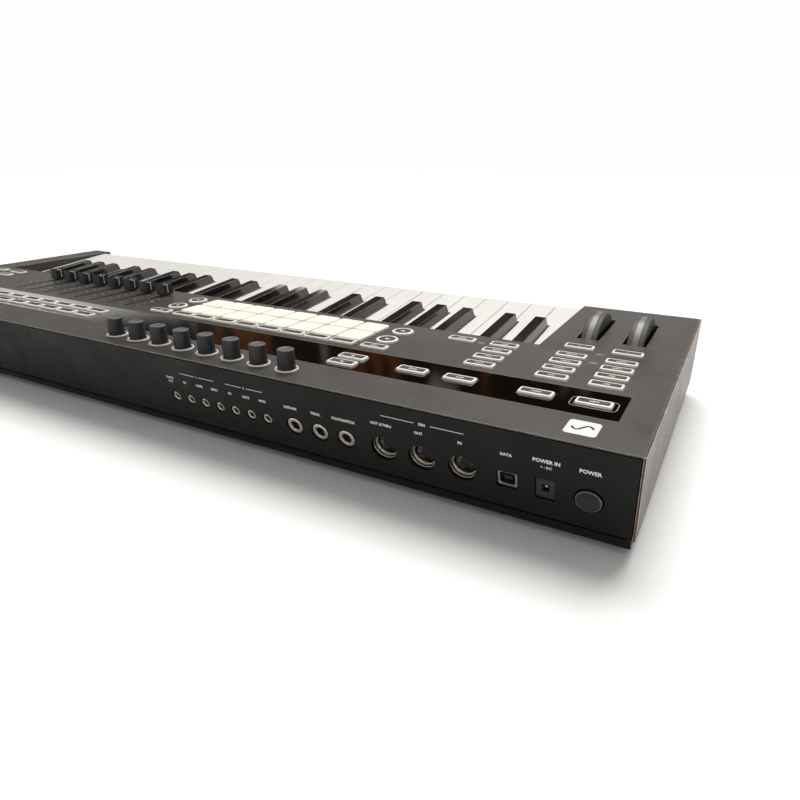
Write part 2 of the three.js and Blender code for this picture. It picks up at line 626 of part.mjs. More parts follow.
// The side of any key: a bar with a notch under its tail that sits on the pivot rod.
function keySide(back, front, top) {
  return [
    [KEY_TAIL, keyTopAt(KEY_TAIL)],
    [back, keyTopAt(back)],
    ...top,
    [front, KEY_TOP - KEY_FRONT_HEIGHT],
    [front - 60, KEY_TOP - KEY_FRONT_HEIGHT],
    [PIVOT_V + 8, KEY_TAIL_BOTTOM],
    [KEY_TAIL, KEY_TAIL_BOTTOM],
  ];
}

function pivotNotch(u0, u1) {
  const half = PIVOT_RADIUS + FIT;
  return block(u0 - 1, u1 + 1, PIVOT_V - half, PIVOT_V + half, KEY_TAIL_BOTTOM - 1, PIVOT_Z + half);
}

const noteU = (octave, index) => octaveU(octave) + index * KEY_PITCH;

// The cuts that leave room for the sharps beside one white key. The top C has none.
function sharpCuts(octave) {
  if (octave === OCTAVES) return [];
  return sharpStarts.map((start) => {
    const u = octaveU(octave) + start;
    const [u0, u1] = [u - SHARP_CLEARANCE, u + SHARP_WIDTH + SHARP_CLEARANCE];
    return block(u0, u1, KEY_TAIL - beyond, SHARP_FRONT + SHARP_FRONT_CLEARANCE, -CASE_HEIGHT, beyond);
  });
}

function whiteKey(octave, index) {
  const u0 = noteU(octave, index) + KEY_GAP / 2;
  const u1 = noteU(octave, index + 1) - KEY_GAP / 2;
  const nose = [
    [KEYS_FRONT - 1.5, keyTopAt(KEYS_FRONT - 1.5)],
    [KEYS_FRONT, KEY_TOP - 1.5],
  ];
  const bar = profile(keySide(KEYS_BACK, KEYS_FRONT, nose), u0, u1);
  const hollowBack = SHARP_FRONT + SHARP_FRONT_CLEARANCE + KEY_WALL;
  const hollowTop = keyTopAt(hollowBack) - KEY_WALL;
  const [v1, z0] = [KEYS_FRONT - KEY_WALL, -CASE_HEIGHT];
  const hollow = block(u0 + KEY_WALL, u1 - KEY_WALL, hollowBack, v1, z0, hollowTop);
  return cut(bar, [...sharpCuts(octave), hollow, pivotNotch(u0, u1)]);
}

function sharpKey(octave, index) {
  const u0 = octaveU(octave) + sharpStarts[index];
  const u1 = u0 + SHARP_WIDTH;
  const nose = [[SHARP_FRONT, keyTopAt(SHARP_FRONT) + 0.5]];
  const bar = profile(keySide(KEYS_BACK + 1, SHARP_FRONT, nose), u0, u1);
  return join([bar, sharpTop(u0)]).subtract(pivotNotch(u0, u1));
}

// The raised part of a sharp: it narrows upwards and its front leans back.
function sharpTop(u0) {
  const [v0, v1] = [KEYS_BACK + 1, SHARP_FRONT];
  const box = new THREE.BoxGeometry(SHARP_WIDTH, v1 - v0, 2);
  const places = box.attributes.position;
  const narrow = SHARP_TOP_WIDTH / SHARP_WIDTH;
  for (let i = 0; i < places.count; i += 1) {
    const upper = places.getZ(i) > 0;
    const front = places.getY(i) < 0;
    const v = front ? v1 - (upper ? SHARP_FRONT_RUN : 0) : v0;
    const u = u0 + SHARP_WIDTH / 2 + places.getX(i) * (upper ? narrow : 1);
    places.setXYZ(i, u, -v, keyTopAt(v) + (upper ? SHARP_HEIGHT : -3));
  }
  return solid(box);
}

const KEY_NAMES = ["c", "d", "e", "f", "g", "a", "b"];
const SHARP_NAMES = ["c_sharp", "d_sharp", "f_sharp", "g_sharp", "a_sharp"];

const upperOctaves = series(OCTAVES - 1, 1, 1);
const RAIL = { v0: KEY_TAIL - 2.6, v1: KEY_TAIL - 0.6, whiteTop: -25, sharpBottom: -24.4, sharpTop: -18.6 };

// The upper white keys are joined by a rail behind their tails.
function upperWhites() {
  const keys = upperOctaves.flatMap((octave) => KEY_NAMES.map((_, index) => whiteKey(octave, index)));
  const [u0, u1] = [octaveU(1) + KEY_GAP, KEYS_RIGHT - KEY_GAP];
  const rail = block(u0, u1, RAIL.v0, RAIL.v1, KEY_TAIL_BOTTOM, RAIL.whiteTop);
  const comb = block(u0, u1, RAIL.v1 - 0.5, KEY_TAIL + 1, KEY_TAIL_BOTTOM, RAIL.whiteTop);
  return join([...keys, whiteKey(OCTAVES, 0), cut(comb, upperOctaves.flatMap(sharpCuts)), rail]);
}

// The upper sharps have a rail of their own above it.
function upperSharps() {
  const starts = upperOctaves.flatMap((octave) => sharpStarts.map((start) => octaveU(octave) + start));
  const keys = upperOctaves.flatMap((octave) => SHARP_NAMES.map((_, index) => sharpKey(octave, index)));
  const tabs = starts.map((u) =>
    block(u + 1, u + SHARP_WIDTH - 1, RAIL.v1 - 0.5, KEY_TAIL + 1, RAIL.sharpBottom, RAIL.sharpTop),
  );
  const last = starts[starts.length - 1] + SHARP_WIDTH;
  return join([...keys, ...tabs, block(starts[0], last, RAIL.v0, RAIL.v1, RAIL.sharpBottom, RAIL.sharpTop)]);
}

// ---- Assembly -----------------------------------------------------------------------------
const COLOUR = {
  panel: 0x5a524c,
  black: 0x1c1c1c,
  cheek: 0x8f8172,
  ivory: 0xf2efe4,
  sharp: 0x161616,
  silicone: 0xe9e7df,
  pad: 0xe6e1c8,
  board: 0x1f3b2b,
  steel: 0x9a9a98,
  rubber: 0x222222,
};

addPiece("top_panel", topPanel(), COLOUR.panel, 0.6);
addPiece("bottom_tray", bottomTray(), COLOUR.black, 0.55);
addPiece("rear_panel", rearPanel(), COLOUR.black, 0.5, 0, rearGroup);
const cheekOutline = sideShape(CASE_DEPTH, -CHEEK_DROP, CORNER_RADIUS);
const cheekU = -CHEEK_THICKNESS - FIT;
addPiece("end_cheek_left", profile(cheekOutline, cheekU, -FIT), COLOUR.cheek, 0.4);
addPiece("end_cheek_right", profile(cheekOutline, PANEL_WIDTH + FIT, PANEL_WIDTH - cheekU), COLOUR.cheek, 0.4);
addPiece("screen_window", screenWindow(), COLOUR.black, 0.08);
addPiece("control_board", controlBoard(), COLOUR.board, 0.6);
addPiece("main_board", mainBoard(), COLOUR.board, 0.6);
addPiece("key_frame", keyFrame(), COLOUR.steel, 0.45, 1);
addPiece("key_pivot_rod", pivotRod(), COLOUR.steel, 0.3, 1);
addPiece("wheel_bracket", wheelBracket(), COLOUR.black, 0.6);
addPiece("wheel_axle", wheelAxle(), COLOUR.steel, 0.3, 1);
addPiece("knob_ring_guide", knobRingGuide(), COLOUR.silicone, 0.5);
addPiece("patch_jack_row", socketRow(PATCH, -0.5), COLOUR.steel, 0.3, 1, rearGroup);
addPiece("pedal_jack_row", socketRow(PEDAL, -0.5), COLOUR.steel, 0.3, 1, rearGroup);
addPiece("din_socket_row", socketRow(DIN, -DIN.recess), COLOUR.steel, 0.3, 1, rearGroup);
addPiece("usb_socket", usbSocket(), COLOUR.steel, 0.3, 1, rearGroup);
addPiece("dc_inlet", dcInlet(), COLOUR.black, 0.5, 0, rearGroup);
["rear_left", "rear_right", "front_left", "front_right"].forEach((place, i) =>
  addPiece("foot_" + place, foot(FEET_PLACES[i]), COLOUR.rubber, 0.9),
);

addPiece("power_button", powerButton(), COLOUR.black, 0.5, 0, rearGroup);
addPiece("pitch_wheel", wheel(LEFT_U[0]), COLOUR.rubber, 0.7);
addPiece("mod_wheel", wheel(LEFT_U[1]), COLOUR.rubber, 0.7);
knobUs.forEach((u, i) => addPiece("knob_" + (i + 1), knob(u), COLOUR.black, 0.5));
faderUs.forEach((u, i) => addPiece("fader_cap_" + (i + 1), faderCap(u), COLOUR.black, 0.5));
addPiece("pad_mat", padMat(), COLOUR.pad, 0.55);
addPiece("left_button_mat", leftMat(), COLOUR.silicone, 0.5);
addPiece("strip_button_mat", stripMat(), COLOUR.silicone, 0.5);
addPiece("pad_button_mat", padButtonMat(), COLOUR.silicone, 0.5);
addPiece("transport_button_mat", transportMat(), COLOUR.silicone, 0.5);
KEY_NAMES.forEach((note, i) => addPiece("key_" + note, whiteKey(0, i), COLOUR.ivory, 0.3));
SHARP_NAMES.forEach((note, i) => addPiece("key_" + note, sharpKey(0, i), COLOUR.sharp, 0.3));
addPiece("upper_white_keys", upperWhites(), COLOUR.ivory, 0.3);
addPiece("upper_sharp_keys", upperSharps(), COLOUR.sharp, 0.3);

export default caseGroup;
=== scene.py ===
"""Looks of a 49-key synthesizer: detailed pieces, finishes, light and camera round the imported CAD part.

Sizes are millimetres in two local frames. In the TOP frame x runs from the left end of the top panel
to the player's right, y is minus the distance from the back edge of the top panel and z is up from it.
In the REAR frame x is the same, y points out of the leaning rear panel and z is minus the distance
down it. Both are turned into the part's frame in metres when a mesh is made.
"""

import json
import logging
import math
from abc import ABC, abstractmethod
from collections.abc import Callable, Sequence
from dataclasses import dataclass, field
from enum import Enum

import bpy
import numpy as np
from mathutils import Matrix, Vector

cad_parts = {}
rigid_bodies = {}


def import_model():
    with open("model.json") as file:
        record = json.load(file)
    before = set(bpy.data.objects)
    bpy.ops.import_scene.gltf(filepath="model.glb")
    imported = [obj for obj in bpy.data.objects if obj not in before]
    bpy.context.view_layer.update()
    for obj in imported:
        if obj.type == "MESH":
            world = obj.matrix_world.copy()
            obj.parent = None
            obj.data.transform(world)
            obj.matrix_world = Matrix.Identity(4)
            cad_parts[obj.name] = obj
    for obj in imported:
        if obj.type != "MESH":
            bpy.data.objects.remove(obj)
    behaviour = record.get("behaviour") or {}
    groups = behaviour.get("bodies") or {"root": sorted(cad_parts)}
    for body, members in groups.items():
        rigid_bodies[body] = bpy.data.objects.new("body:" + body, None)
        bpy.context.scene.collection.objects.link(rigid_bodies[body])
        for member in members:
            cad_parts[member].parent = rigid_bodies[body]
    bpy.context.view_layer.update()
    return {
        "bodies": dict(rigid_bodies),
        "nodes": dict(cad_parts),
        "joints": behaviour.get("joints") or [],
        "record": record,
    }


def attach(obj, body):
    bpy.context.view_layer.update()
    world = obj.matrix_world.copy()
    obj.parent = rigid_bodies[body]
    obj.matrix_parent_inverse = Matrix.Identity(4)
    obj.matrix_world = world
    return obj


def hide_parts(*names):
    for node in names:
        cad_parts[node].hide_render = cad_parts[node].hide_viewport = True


LOG = logging.getLogger("synthesizer")
MM = 0.001
PANEL_WIDTH = 813.0
CASE_DEPTH = 300.0
TOP_HEIGHT = 69.0
REAR_LEAN = math.radians(13.56)
CHANNEL_PITCH = 24.65
ROW_V = 90.6
ROW_PITCH = 16.6
LEFT_U = (36.4, 71.5)
MIDDLE_U = 122.3
SINGLE_U = 157.0
PAD_U = 236.0
SIDE_U = 207.5
RIGHT_SIDE_U = 437.05
FADER_U = 487.5
KNOB_U = 233.6
KNOB_V = 18.7
SOCKET_W = 37.4
LAYER = 0.04  # thickness of printed ink


class Slot(Enum):
    """Material slots of the record."""

    CASE_TOP = "case_top"
    CASE_BLACK = "case_black"
    CHEEK = "end_cheek"
    WINDOW = "window"
    BOARD = "circuit_board"
    STEEL = "plated_steel"
    NICKEL = "socket_nickel"
    GUIDE = "light_guide"
    FOOT = "foot_rubber"
    CONTROL = "control_black"
    WHEEL = "wheel_rubber"
    PAD = "pad_silicone"
    BUTTON = "button_silicone"
    WHITE_KEY = "white_key"
    BLACK_KEY = "black_key"


class Local(Enum):
    """The two local frames in which pieces are laid out."""

    TOP = "top"
    REAR = "rear"

    def to_part(self, points: np.ndarray) -> np.ndarray:
        """Turns points of this frame in millimetres into the part's frame in metres.

        Args:
            points: An (n, 3) array in millimetres.

        Returns:
            An (n, 3) array in metres. The REAR frame first turns by -lean about x:
            (y, z) -> (y cos + z sin, -y sin + z cos).
        """
        placed = np.array(points, float)
        if self is Local.REAR:
            y, z = placed[:, 1].copy(), placed[:, 2].copy()
            placed[:, 1] = y * math.cos(REAR_LEAN) + z * math.sin(REAR_LEAN)
            placed[:, 2] = -y * math.sin(REAR_LEAN) + z * math.cos(REAR_LEAN)
        return (placed + (-PANEL_WIDTH / 2, CASE_DEPTH / 2, TOP_HEIGHT)) * MM


def linear(colour: str) -> tuple[float, float, float, float]:
    """Turns an sRGB hex colour into linear light.

    Args:
        colour: Six hex digits, such as "8f8172".

    Returns:
        Linear red, green and blue, and an alpha of 1.
    """
    parts = [int(colour[i : i + 2], 16) / 255 for i in (0, 2, 4)]
    r, g, b = (c / 12.92 if c <= 0.04045 else ((c + 0.055) / 1.055) ** 2.4 for c in parts)
    return (r, g, b, 1.0)


# ---- Finishes ---------------------------------------------------------------------------------
class Shader:
    """A small helper round one node tree."""

    def __init__(self, tree: bpy.types.NodeTree) -> None:
        """Empties a node tree.

        Args:
            tree: Node tree of a material or of the surround.
        """
        self.tree = tree
        self.tree.nodes.clear()

    def add(
        self, kind: str, values: dict | None = None, links: dict | None = None, **settings
    ) -> bpy.types.Node:
        """Adds one node.

        Args:
            kind: Type of the node, such as "ShaderNodeTexNoise".
            values: Constants for its inputs, by name or number.
            links: Output sockets that feed its inputs, by name or number.
            **settings: Properties of the node itself.

        Returns:
            The new node.
        """
        node = self.tree.nodes.new(kind)
        for key, value in settings.items():
            setattr(node, key, value)
        for key, value in (values or {}).items():
            node.inputs[key].default_value = value
        for key, socket in (links or {}).items():
            self.tree.links.new(socket, node.inputs[key])
        return node


@dataclass(frozen=True)
class Finish:
    """A real-life material with colour variation, dust, wear and fine relief.

    Attributes:
        name: Name of the material in the file.
        colour: Main sRGB hex colour.
        worn: Colour that shows in rubbed or dusty places.
        roughness: Mean roughness.
        metallic: 0 for plastics and 1 for metals.
        coat: Strength of a clear layer.
        subsurface: Share of light that scatters inside.
        grain_mm: Size of the fine relief.
        grain_depth: Strength of the fine relief.
        patch_mm: Size of the slow changes of colour and gloss.
        variety: Share of the worn colour where the patches are strongest.
        stretch: Stretch of the grain along x, y and z, for brushed or moulded finishes.
        specular: Strength of the reflection of a plastic.
    """

    name: str
    colour: str
    worn: str
    roughness: float
    metallic: float = 0.0
    coat: float = 0.0
    subsurface: float = 0.0
    grain_mm: float = 0.4
    grain_depth: float = 0.1
    patch_mm: float = 40.0
    variety: float = 0.15
    stretch: tuple[float, float, float] = (1.0, 1.0, 1.0)
    specular: float = 0.5

    def build(self) -> bpy.types.Material:
        """Makes the material.

        Returns:
            A material whose patterns follow Object coordinates.
        """
        material = bpy.data.materials.new(self.name)
        material.use_nodes = True
        s = Shader(material.node_tree)
        place = s.add("ShaderNodeTexCoord").outputs["Object"]
        grain_place = s.add("ShaderNodeMapping", {"Scale": self.stretch}, {"Vector": place}).outputs[0]
        patches = s.add(
            "ShaderNodeTexNoise",
            {"Scale": 1 / (self.patch_mm * MM), "Detail": 4.0, "Roughness": 0.6, "Distortion": 0.4},
            {"Vector": place},
        ).outputs["Fac"]
        grain = s.add(
            "ShaderNodeTexNoise",
            {"Scale": 1 / (self.grain_mm * MM), "Detail": 2.0, "Roughness": 0.55},
            {"Vector": grain_place},
        ).outputs["Fac"]
        specks = s.add("ShaderNodeTexVoronoi", {"Scale": 1 / (9 * MM), "Randomness": 1.0}, {"Vector": place})
        dust = s.add(
            "ShaderNodeMapRange",
            {"From Min": 0.035, "From Max": 0.05, "To Min": 1.0, "To Max": 0.0},
            {"Value": specks.outputs["Distance"]},
        ).outputs[0]
        wear = s.add(
            "ShaderNodeMapRange",
            {"From Min": 0.45, "From Max": 0.8, "To Min": 0.0, "To Max": self.variety},
            {"Value": patches},
        ).outputs[0]
        body = s.add(
            "ShaderNodeMix",
            {"A": linear(self.colour), "B": linear(self.worn)},
            {"Factor": wear},
            data_type="RGBA",
        ).outputs["Result"]
        thin_dust = s.add(
            "ShaderNodeMath", {1: 0.35 * self.variety}, {0: dust}, operation="MULTIPLY"
        ).outputs[0]
        dusty = s.add(
            "ShaderNodeMix",
            {"B": linear("b9b2a8")},
            {"Factor": thin_dust, "A": body},
            data_type="RGBA",
        ).outputs["Result"]
        gloss = s.add(
            "ShaderNodeMapRange",
            {
                "From Min": 0.3,
                "From Max": 0.75,
                "To Min": self.roughness * 0.85,
                "To Max": min(1.0, self.roughness * 1.2 + 0.02),
            },
            {"Value": patches},
        ).outputs[0]
        relief = s.add(
            "ShaderNodeBump",
            {"Strength": self.grain_depth, "Distance": self.grain_mm * MM * 0.3},
            {"Height": grain},
        ).outputs[0]
        constants = {
            "Metallic": self.metallic,
            "Coat Weight": self.coat,
            "Coat Roughness": 0.08,
            "Specular IOR Level": self.specular,
        }
        if self.subsurface:
            constants |= {
                "Subsurface Weight": self.subsurface,
                "Subsurface Scale": 2 * MM,
                "Subsurface Radius": (1.0, 0.85, 0.6),
            }
        surface = s.add(
            "ShaderNodeBsdfPrincipled",
            constants,
            {"Base Color": dusty, "Roughness": gloss, "Normal": relief},
        )
        s.add("ShaderNodeOutputMaterial", links={"Surface": surface.outputs[0]})
        return material


PALETTE = {
    # Matt grey-brown paint on the sheet of the top panel.
    "panel": Finish("painted top panel", "2f2a24", "3e372f", 0.42, grain_mm=0.25, grain_depth=0.18),
    # The same paint, lighter on the softened edge as a painted highlight.
    "panel_highlight_edge": Finish("panel edge painted highlight", "968d80", "b0a89c", 0.3, patch_mm=12, variety=0.5),
    # Fine-textured black moulding of the tray and the rear panel.
    "black": Finish(
        "black moulded ABS", "0c0c0c", "181715", 0.55, grain_mm=0.3, grain_depth=0.25, specular=0.22
    ),
    # Lighter finish on the softened edges of the black moulding: a painted highlight.
    "black_highlight_edge": Finish("moulded ABS edge painted highlight", "242321", "3d3a35", 0.35, patch_mm=12, variety=0.4),
    # Semi-gloss taupe end cheeks.
    "cheek": Finish(
        "taupe lacquered ABS", "3a2a20", "5f4c3d", 0.34, patch_mm=25, variety=0.35, specular=0.3
    ),
    # Lighter finish on the softened edges of the cheeks: a painted highlight.
    "cheek_highlight_edge": Finish("lacquered edge painted highlight", "9a8f80", "c2b8a8", 0.25, patch_mm=15, variety=0.4),
    # Polished black acrylic.
    "lens": Finish("black acrylic", "050505", "0c0a09", 0.045, coat=0.6, grain_depth=0.01, patch_mm=60),
    "lens_line": Finish("grey printed line", "8b8378", "6d665d", 0.4),
    # Glass-fibre board under green solder mask.
    "board": Finish("green circuit board", "17452c", "2c6a44", 0.45, grain_mm=0.8, grain_depth=0.3),
    "steel": Finish(
        "zinc plated steel", "9b9a96", "74726c", 0.38, 1.0, grain_mm=0.3, grain_depth=0.3, stretch=(1, 8, 8)
    ),
    # Nickel plating of the sockets.
    "nickel": Finish("nickel plated brass", "bdb6aa", "857c6e", 0.2, 1.0, grain_depth=0.05, patch_mm=6),
    "guide": Finish("milky acrylic ring", "ece8dc", "cfc8b6", 0.35, subsurface=0.3, patch_mm=10),
    "foot": Finish("black foot rubber", "17171a", "2c2b29", 0.85, grain_mm=0.8, grain_depth=0.4),
    "control": Finish("black soft-touch nylon", "1c1c1f", "34332f", 0.5, grain_mm=0.35, grain_depth=0.3),
    # Lighter grey on the knob tops, fader cap ends and power button rim: a painted highlight.
    "control_highlight": Finish("nylon painted highlight", "4a4947", "6d6a66", 0.4, patch_mm=6, variety=0.4),
    "white_ink": Finish("white pad printing", "e6e4de", "c9c5bb", 0.55, patch_mm=3, variety=0.3),
    "dark_ink": Finish("dark pad printing", "1f1c1a", "35312d", 0.5, patch_mm=5, variety=0.35),
    "tyre": Finish("grey wheel rubber", "3b3835", "625e58", 0.55, grain_mm=0.5, grain_depth=0.35, patch_mm=9),
    # Lighter grey on the middle ridge of the wheel rim: a painted highlight.
    "tyre_ridge_highlight": Finish("rubber ridge painted highlight", "6f6a63", "8f8980", 0.36, patch_mm=7, variety=0.4),
    "hub": Finish("black wheel side", "121212", "24221f", 0.3, patch_mm=12, variety=0.3),
    "pad": Finish(
        "cream silicone",
        "f2eedf",
        "e2ddc8",
        0.42,
        subsurface=0.35,
        grain_mm=0.6,
        grain_depth=0.12,
        patch_mm=18,
    ),
    "button": Finish("white silicone", "e8e5dc", "c6c1b4", 0.38, subsurface=0.3, patch_mm=8, variety=0.25),
    "ivory": Finish(
        "polished white acrylic", "f8f6f1", "efe9de", 0.13, coat=0.35, grain_depth=0.015, patch_mm=35
    ),
    "ebony": Finish("black key acrylic", "171615", "2a2826", 0.17, coat=0.6, grain_depth=0.03, patch_mm=14),
    # Lighter grey on the softened edges of the black keys: a painted highlight.
    "ebony_highlight_edge": Finish("black acrylic painted highlight", "63605d", "827e7a", 0.24, patch_mm=10, variety=0.4),
    # Near-black finish; on the pad sheet and inside the square socket it stands for painted shade.
    "dark": Finish("socket interior", "070707", "12100e", 0.7, grain_depth=0.1),
    "tin": Finish("tin plated contact", "c9c2b2", "8f8674", 0.25, 1.0, patch_mm=3, variety=0.4),
}


class Finishes:
    """Makes each finish once, when it is first asked for."""

    def __init__(self) -> None:
        """Starts with nothing made."""
        self._made: dict[str, bpy.types.Material] = {}

    def get(self, key: str) -> bpy.types.Material:
        """Returns the material of a palette entry.

        Args:
            key: Name in PALETTE.

        Returns:
            The Blender material.
        """
        if key not in self._made:
            self._made[key] = PALETTE[key].build()
        return self._made[key]


# ---- Meshes -----------------------------------------------------------------------------------
def circle(radius: float, count: int, turn: float = 0.0) -> np.ndarray:
    """Points of a regular polygon: (r cos a, r sin a) for a = turn + 2 pi i / count.

    Args:
        radius: Distance from the centre.
        count: Number of points.
        turn: Angle of the first point in radians.

    Returns:
        A (count, 2) array.
    """
    a = turn + np.arange(count) * 2 * math.pi / count
    return np.stack([radius * np.cos(a), radius * np.sin(a)], 1)


def rounded(width: float, depth: float, radius: float, steps: int = 4) -> np.ndarray:
    """Outline of a rectangle with rounded corners, centred on the origin, anticlockwise.

    Args:
        width: Size along x.
        depth: Size along y.
        radius: Radius of the corners.
        steps: Points on each corner.

    Returns:
        A (4 * steps, 2) array: corner centre + r (cos a, sin a) for each quarter turn.
    """
    r = min(radius, width / 2 - 0.01, depth / 2 - 0.01)
    a = np.linspace(0, math.pi / 2, steps)[None, :] + np.arange(4)[:, None] * math.pi / 2
    signs = np.array([(1, 1), (-1, 1), (-1, -1), (1, -1)], float)
    centres = signs * (width / 2 - r, depth / 2 - r)
    corners = centres[:, None, :] + r * np.stack([np.cos(a), np.sin(a)], 2)
    return corners.reshape(-1, 2)


@dataclass
class Draft:
    """A mesh being put together from lofts, in one local frame.

    Attributes:
        local: The local frame that its points are in.
        points: Arrays of points, one for each part.
        faces: Faces as tuples of point numbers.
        skins: Number of the finish of each face.
        smooth: Whether each face is shaded smooth.
    """

    local: Local = Local.TOP
    points: list[np.ndarray] = field(default_factory=list)
    faces: list[tuple[int, ...]] = field(default_factory=list)
    skins: list[int] = field(default_factory=list)
    smooth: list[bool] = field(default_factory=list)
    count: int = 0

    def put(
        self, points: np.ndarray, faces: Sequence[Sequence[int]], skins: Sequence[int], smooth: bool
    ) -> None:
        """Adds points and faces.

        Args:
            points: An (n, 3) array.
            faces: Faces that number those points from 0.
            skins: The finish of each face.
            smooth: Whether the faces are shaded smooth.
        """
        self.points.append(points)
        self.faces += [tuple(int(i) + self.count for i in f) for f in faces]
        self.skins += list(skins)
        self.smooth += [smooth] * len(faces)
        self.count += len(points)

    def loft(
        self,
        rings: np.ndarray,
        skins: int | Sequence[int] = 0,
        start: bool = True,
        end: bool = True,
        smooth: bool = True,
    ) -> None:
        """Joins closed rings of equal length one after another, with flat caps.

        Args:
            rings: An (r, n, 3) array, anticlockwise as seen from the last ring.
            skins: The finish of all bands, or one for each band and then the two caps.
            start: Whether the first ring is closed.
            end: Whether the last ring is closed.
            smooth: Whether the bands are shaded smooth.
        """
        r, n, _ = rings.shape
        each = [skins] * (r + 1) if isinstance(skins, int) else list(skins)
        i = np.arange(n)
        j = (i + 1) % n
        base = (np.arange(r - 1) * n)[:, None]
        quads = np.stack([base + i, base + j, base + n + j, base + n + i], 2).reshape(-1, 4)
        band_skins = np.repeat(each[: r - 1], n)
        self.put(rings.reshape(-1, 3), quads.tolist(), band_skins.tolist(), smooth)
        first = self.count - r * n
        if start:
            self.put(np.zeros((0, 3)), [], [], False)
            self.faces.append(tuple(range(first + n - 1, first - 1, -1)))
            self.skins.append(each[r - 1])
            self.smooth.append(False)
        if end:
            self.faces.append(tuple(range(first + (r - 1) * n, first + r * n)))
            self.skins.append(each[r])
            self.smooth.append(False)

    def copy_to(self, other: "Draft", shift: tuple[float, float, float]) -> None:
        """Adds all of this draft to another one, moved by a shift.

        Args:
            other: The draft that receives it.
            shift: Movement in millimetres.
        """
        moved = np.concatenate(self.points) + np.array(shift)
        other.points.append(moved)
        other.faces += [tuple(i + other.count for i in f) for f in self.faces]
        other.skins += self.skins
        other.smooth += self.smooth
        other.count += len(moved)

    def stack(
        self,
        outline: Callable[[float], np.ndarray],
        levels: Sequence[tuple[float, float]],
        centre: tuple[float, float],
        skins: int | Sequence[int] = 0,
        start: bool = True,
        end: bool = True,
        upright: bool = True,
    ) -> None:
        """Lofts one outline through several levels, growing or shrinking it at each.

        Args:
            outline: Gives the (n, 2) outline for an inset from the full size.
            levels: (inset, level) pairs in order.
            centre: Centre of the outline in the plane of the local frame's face.
            skins: As for loft.
            start: Whether the first level is closed.
            end: Whether the last level is closed.
            upright: True to stack along z, and False to stack along y, out of the rear panel.
        """
        rings = []
        for inset, level in levels:
            flat = outline(inset) + np.array(centre)
            h = np.full(len(flat), level)
            rings.append(
                np.stack([flat[:, 0], flat[:, 1], h], 1)
                if upright
                else np.stack([flat[:, 0], h, flat[:, 1]], 1)
            )
        stacked = np.array(rings)
        self.loft(stacked if upright else stacked[:, ::-1], skins, start, end)


def bevel(top: float, radius: float, steps: int = 3) -> list[tuple[float, float]]:
    """Levels of a rounded upper edge: inset r (1 - cos a), level top - r (1 - sin a).

    Args:
        top: Level of the flat top.
        radius: Radius of the rounding.
        steps: Number of levels.

    Returns:
        (inset, level) pairs from the side to the top.
    """
    return [
        (radius * (1 - math.cos(a)), top - radius * (1 - math.sin(a)))
        for a in np.linspace(0, math.pi / 2, steps)
    ]


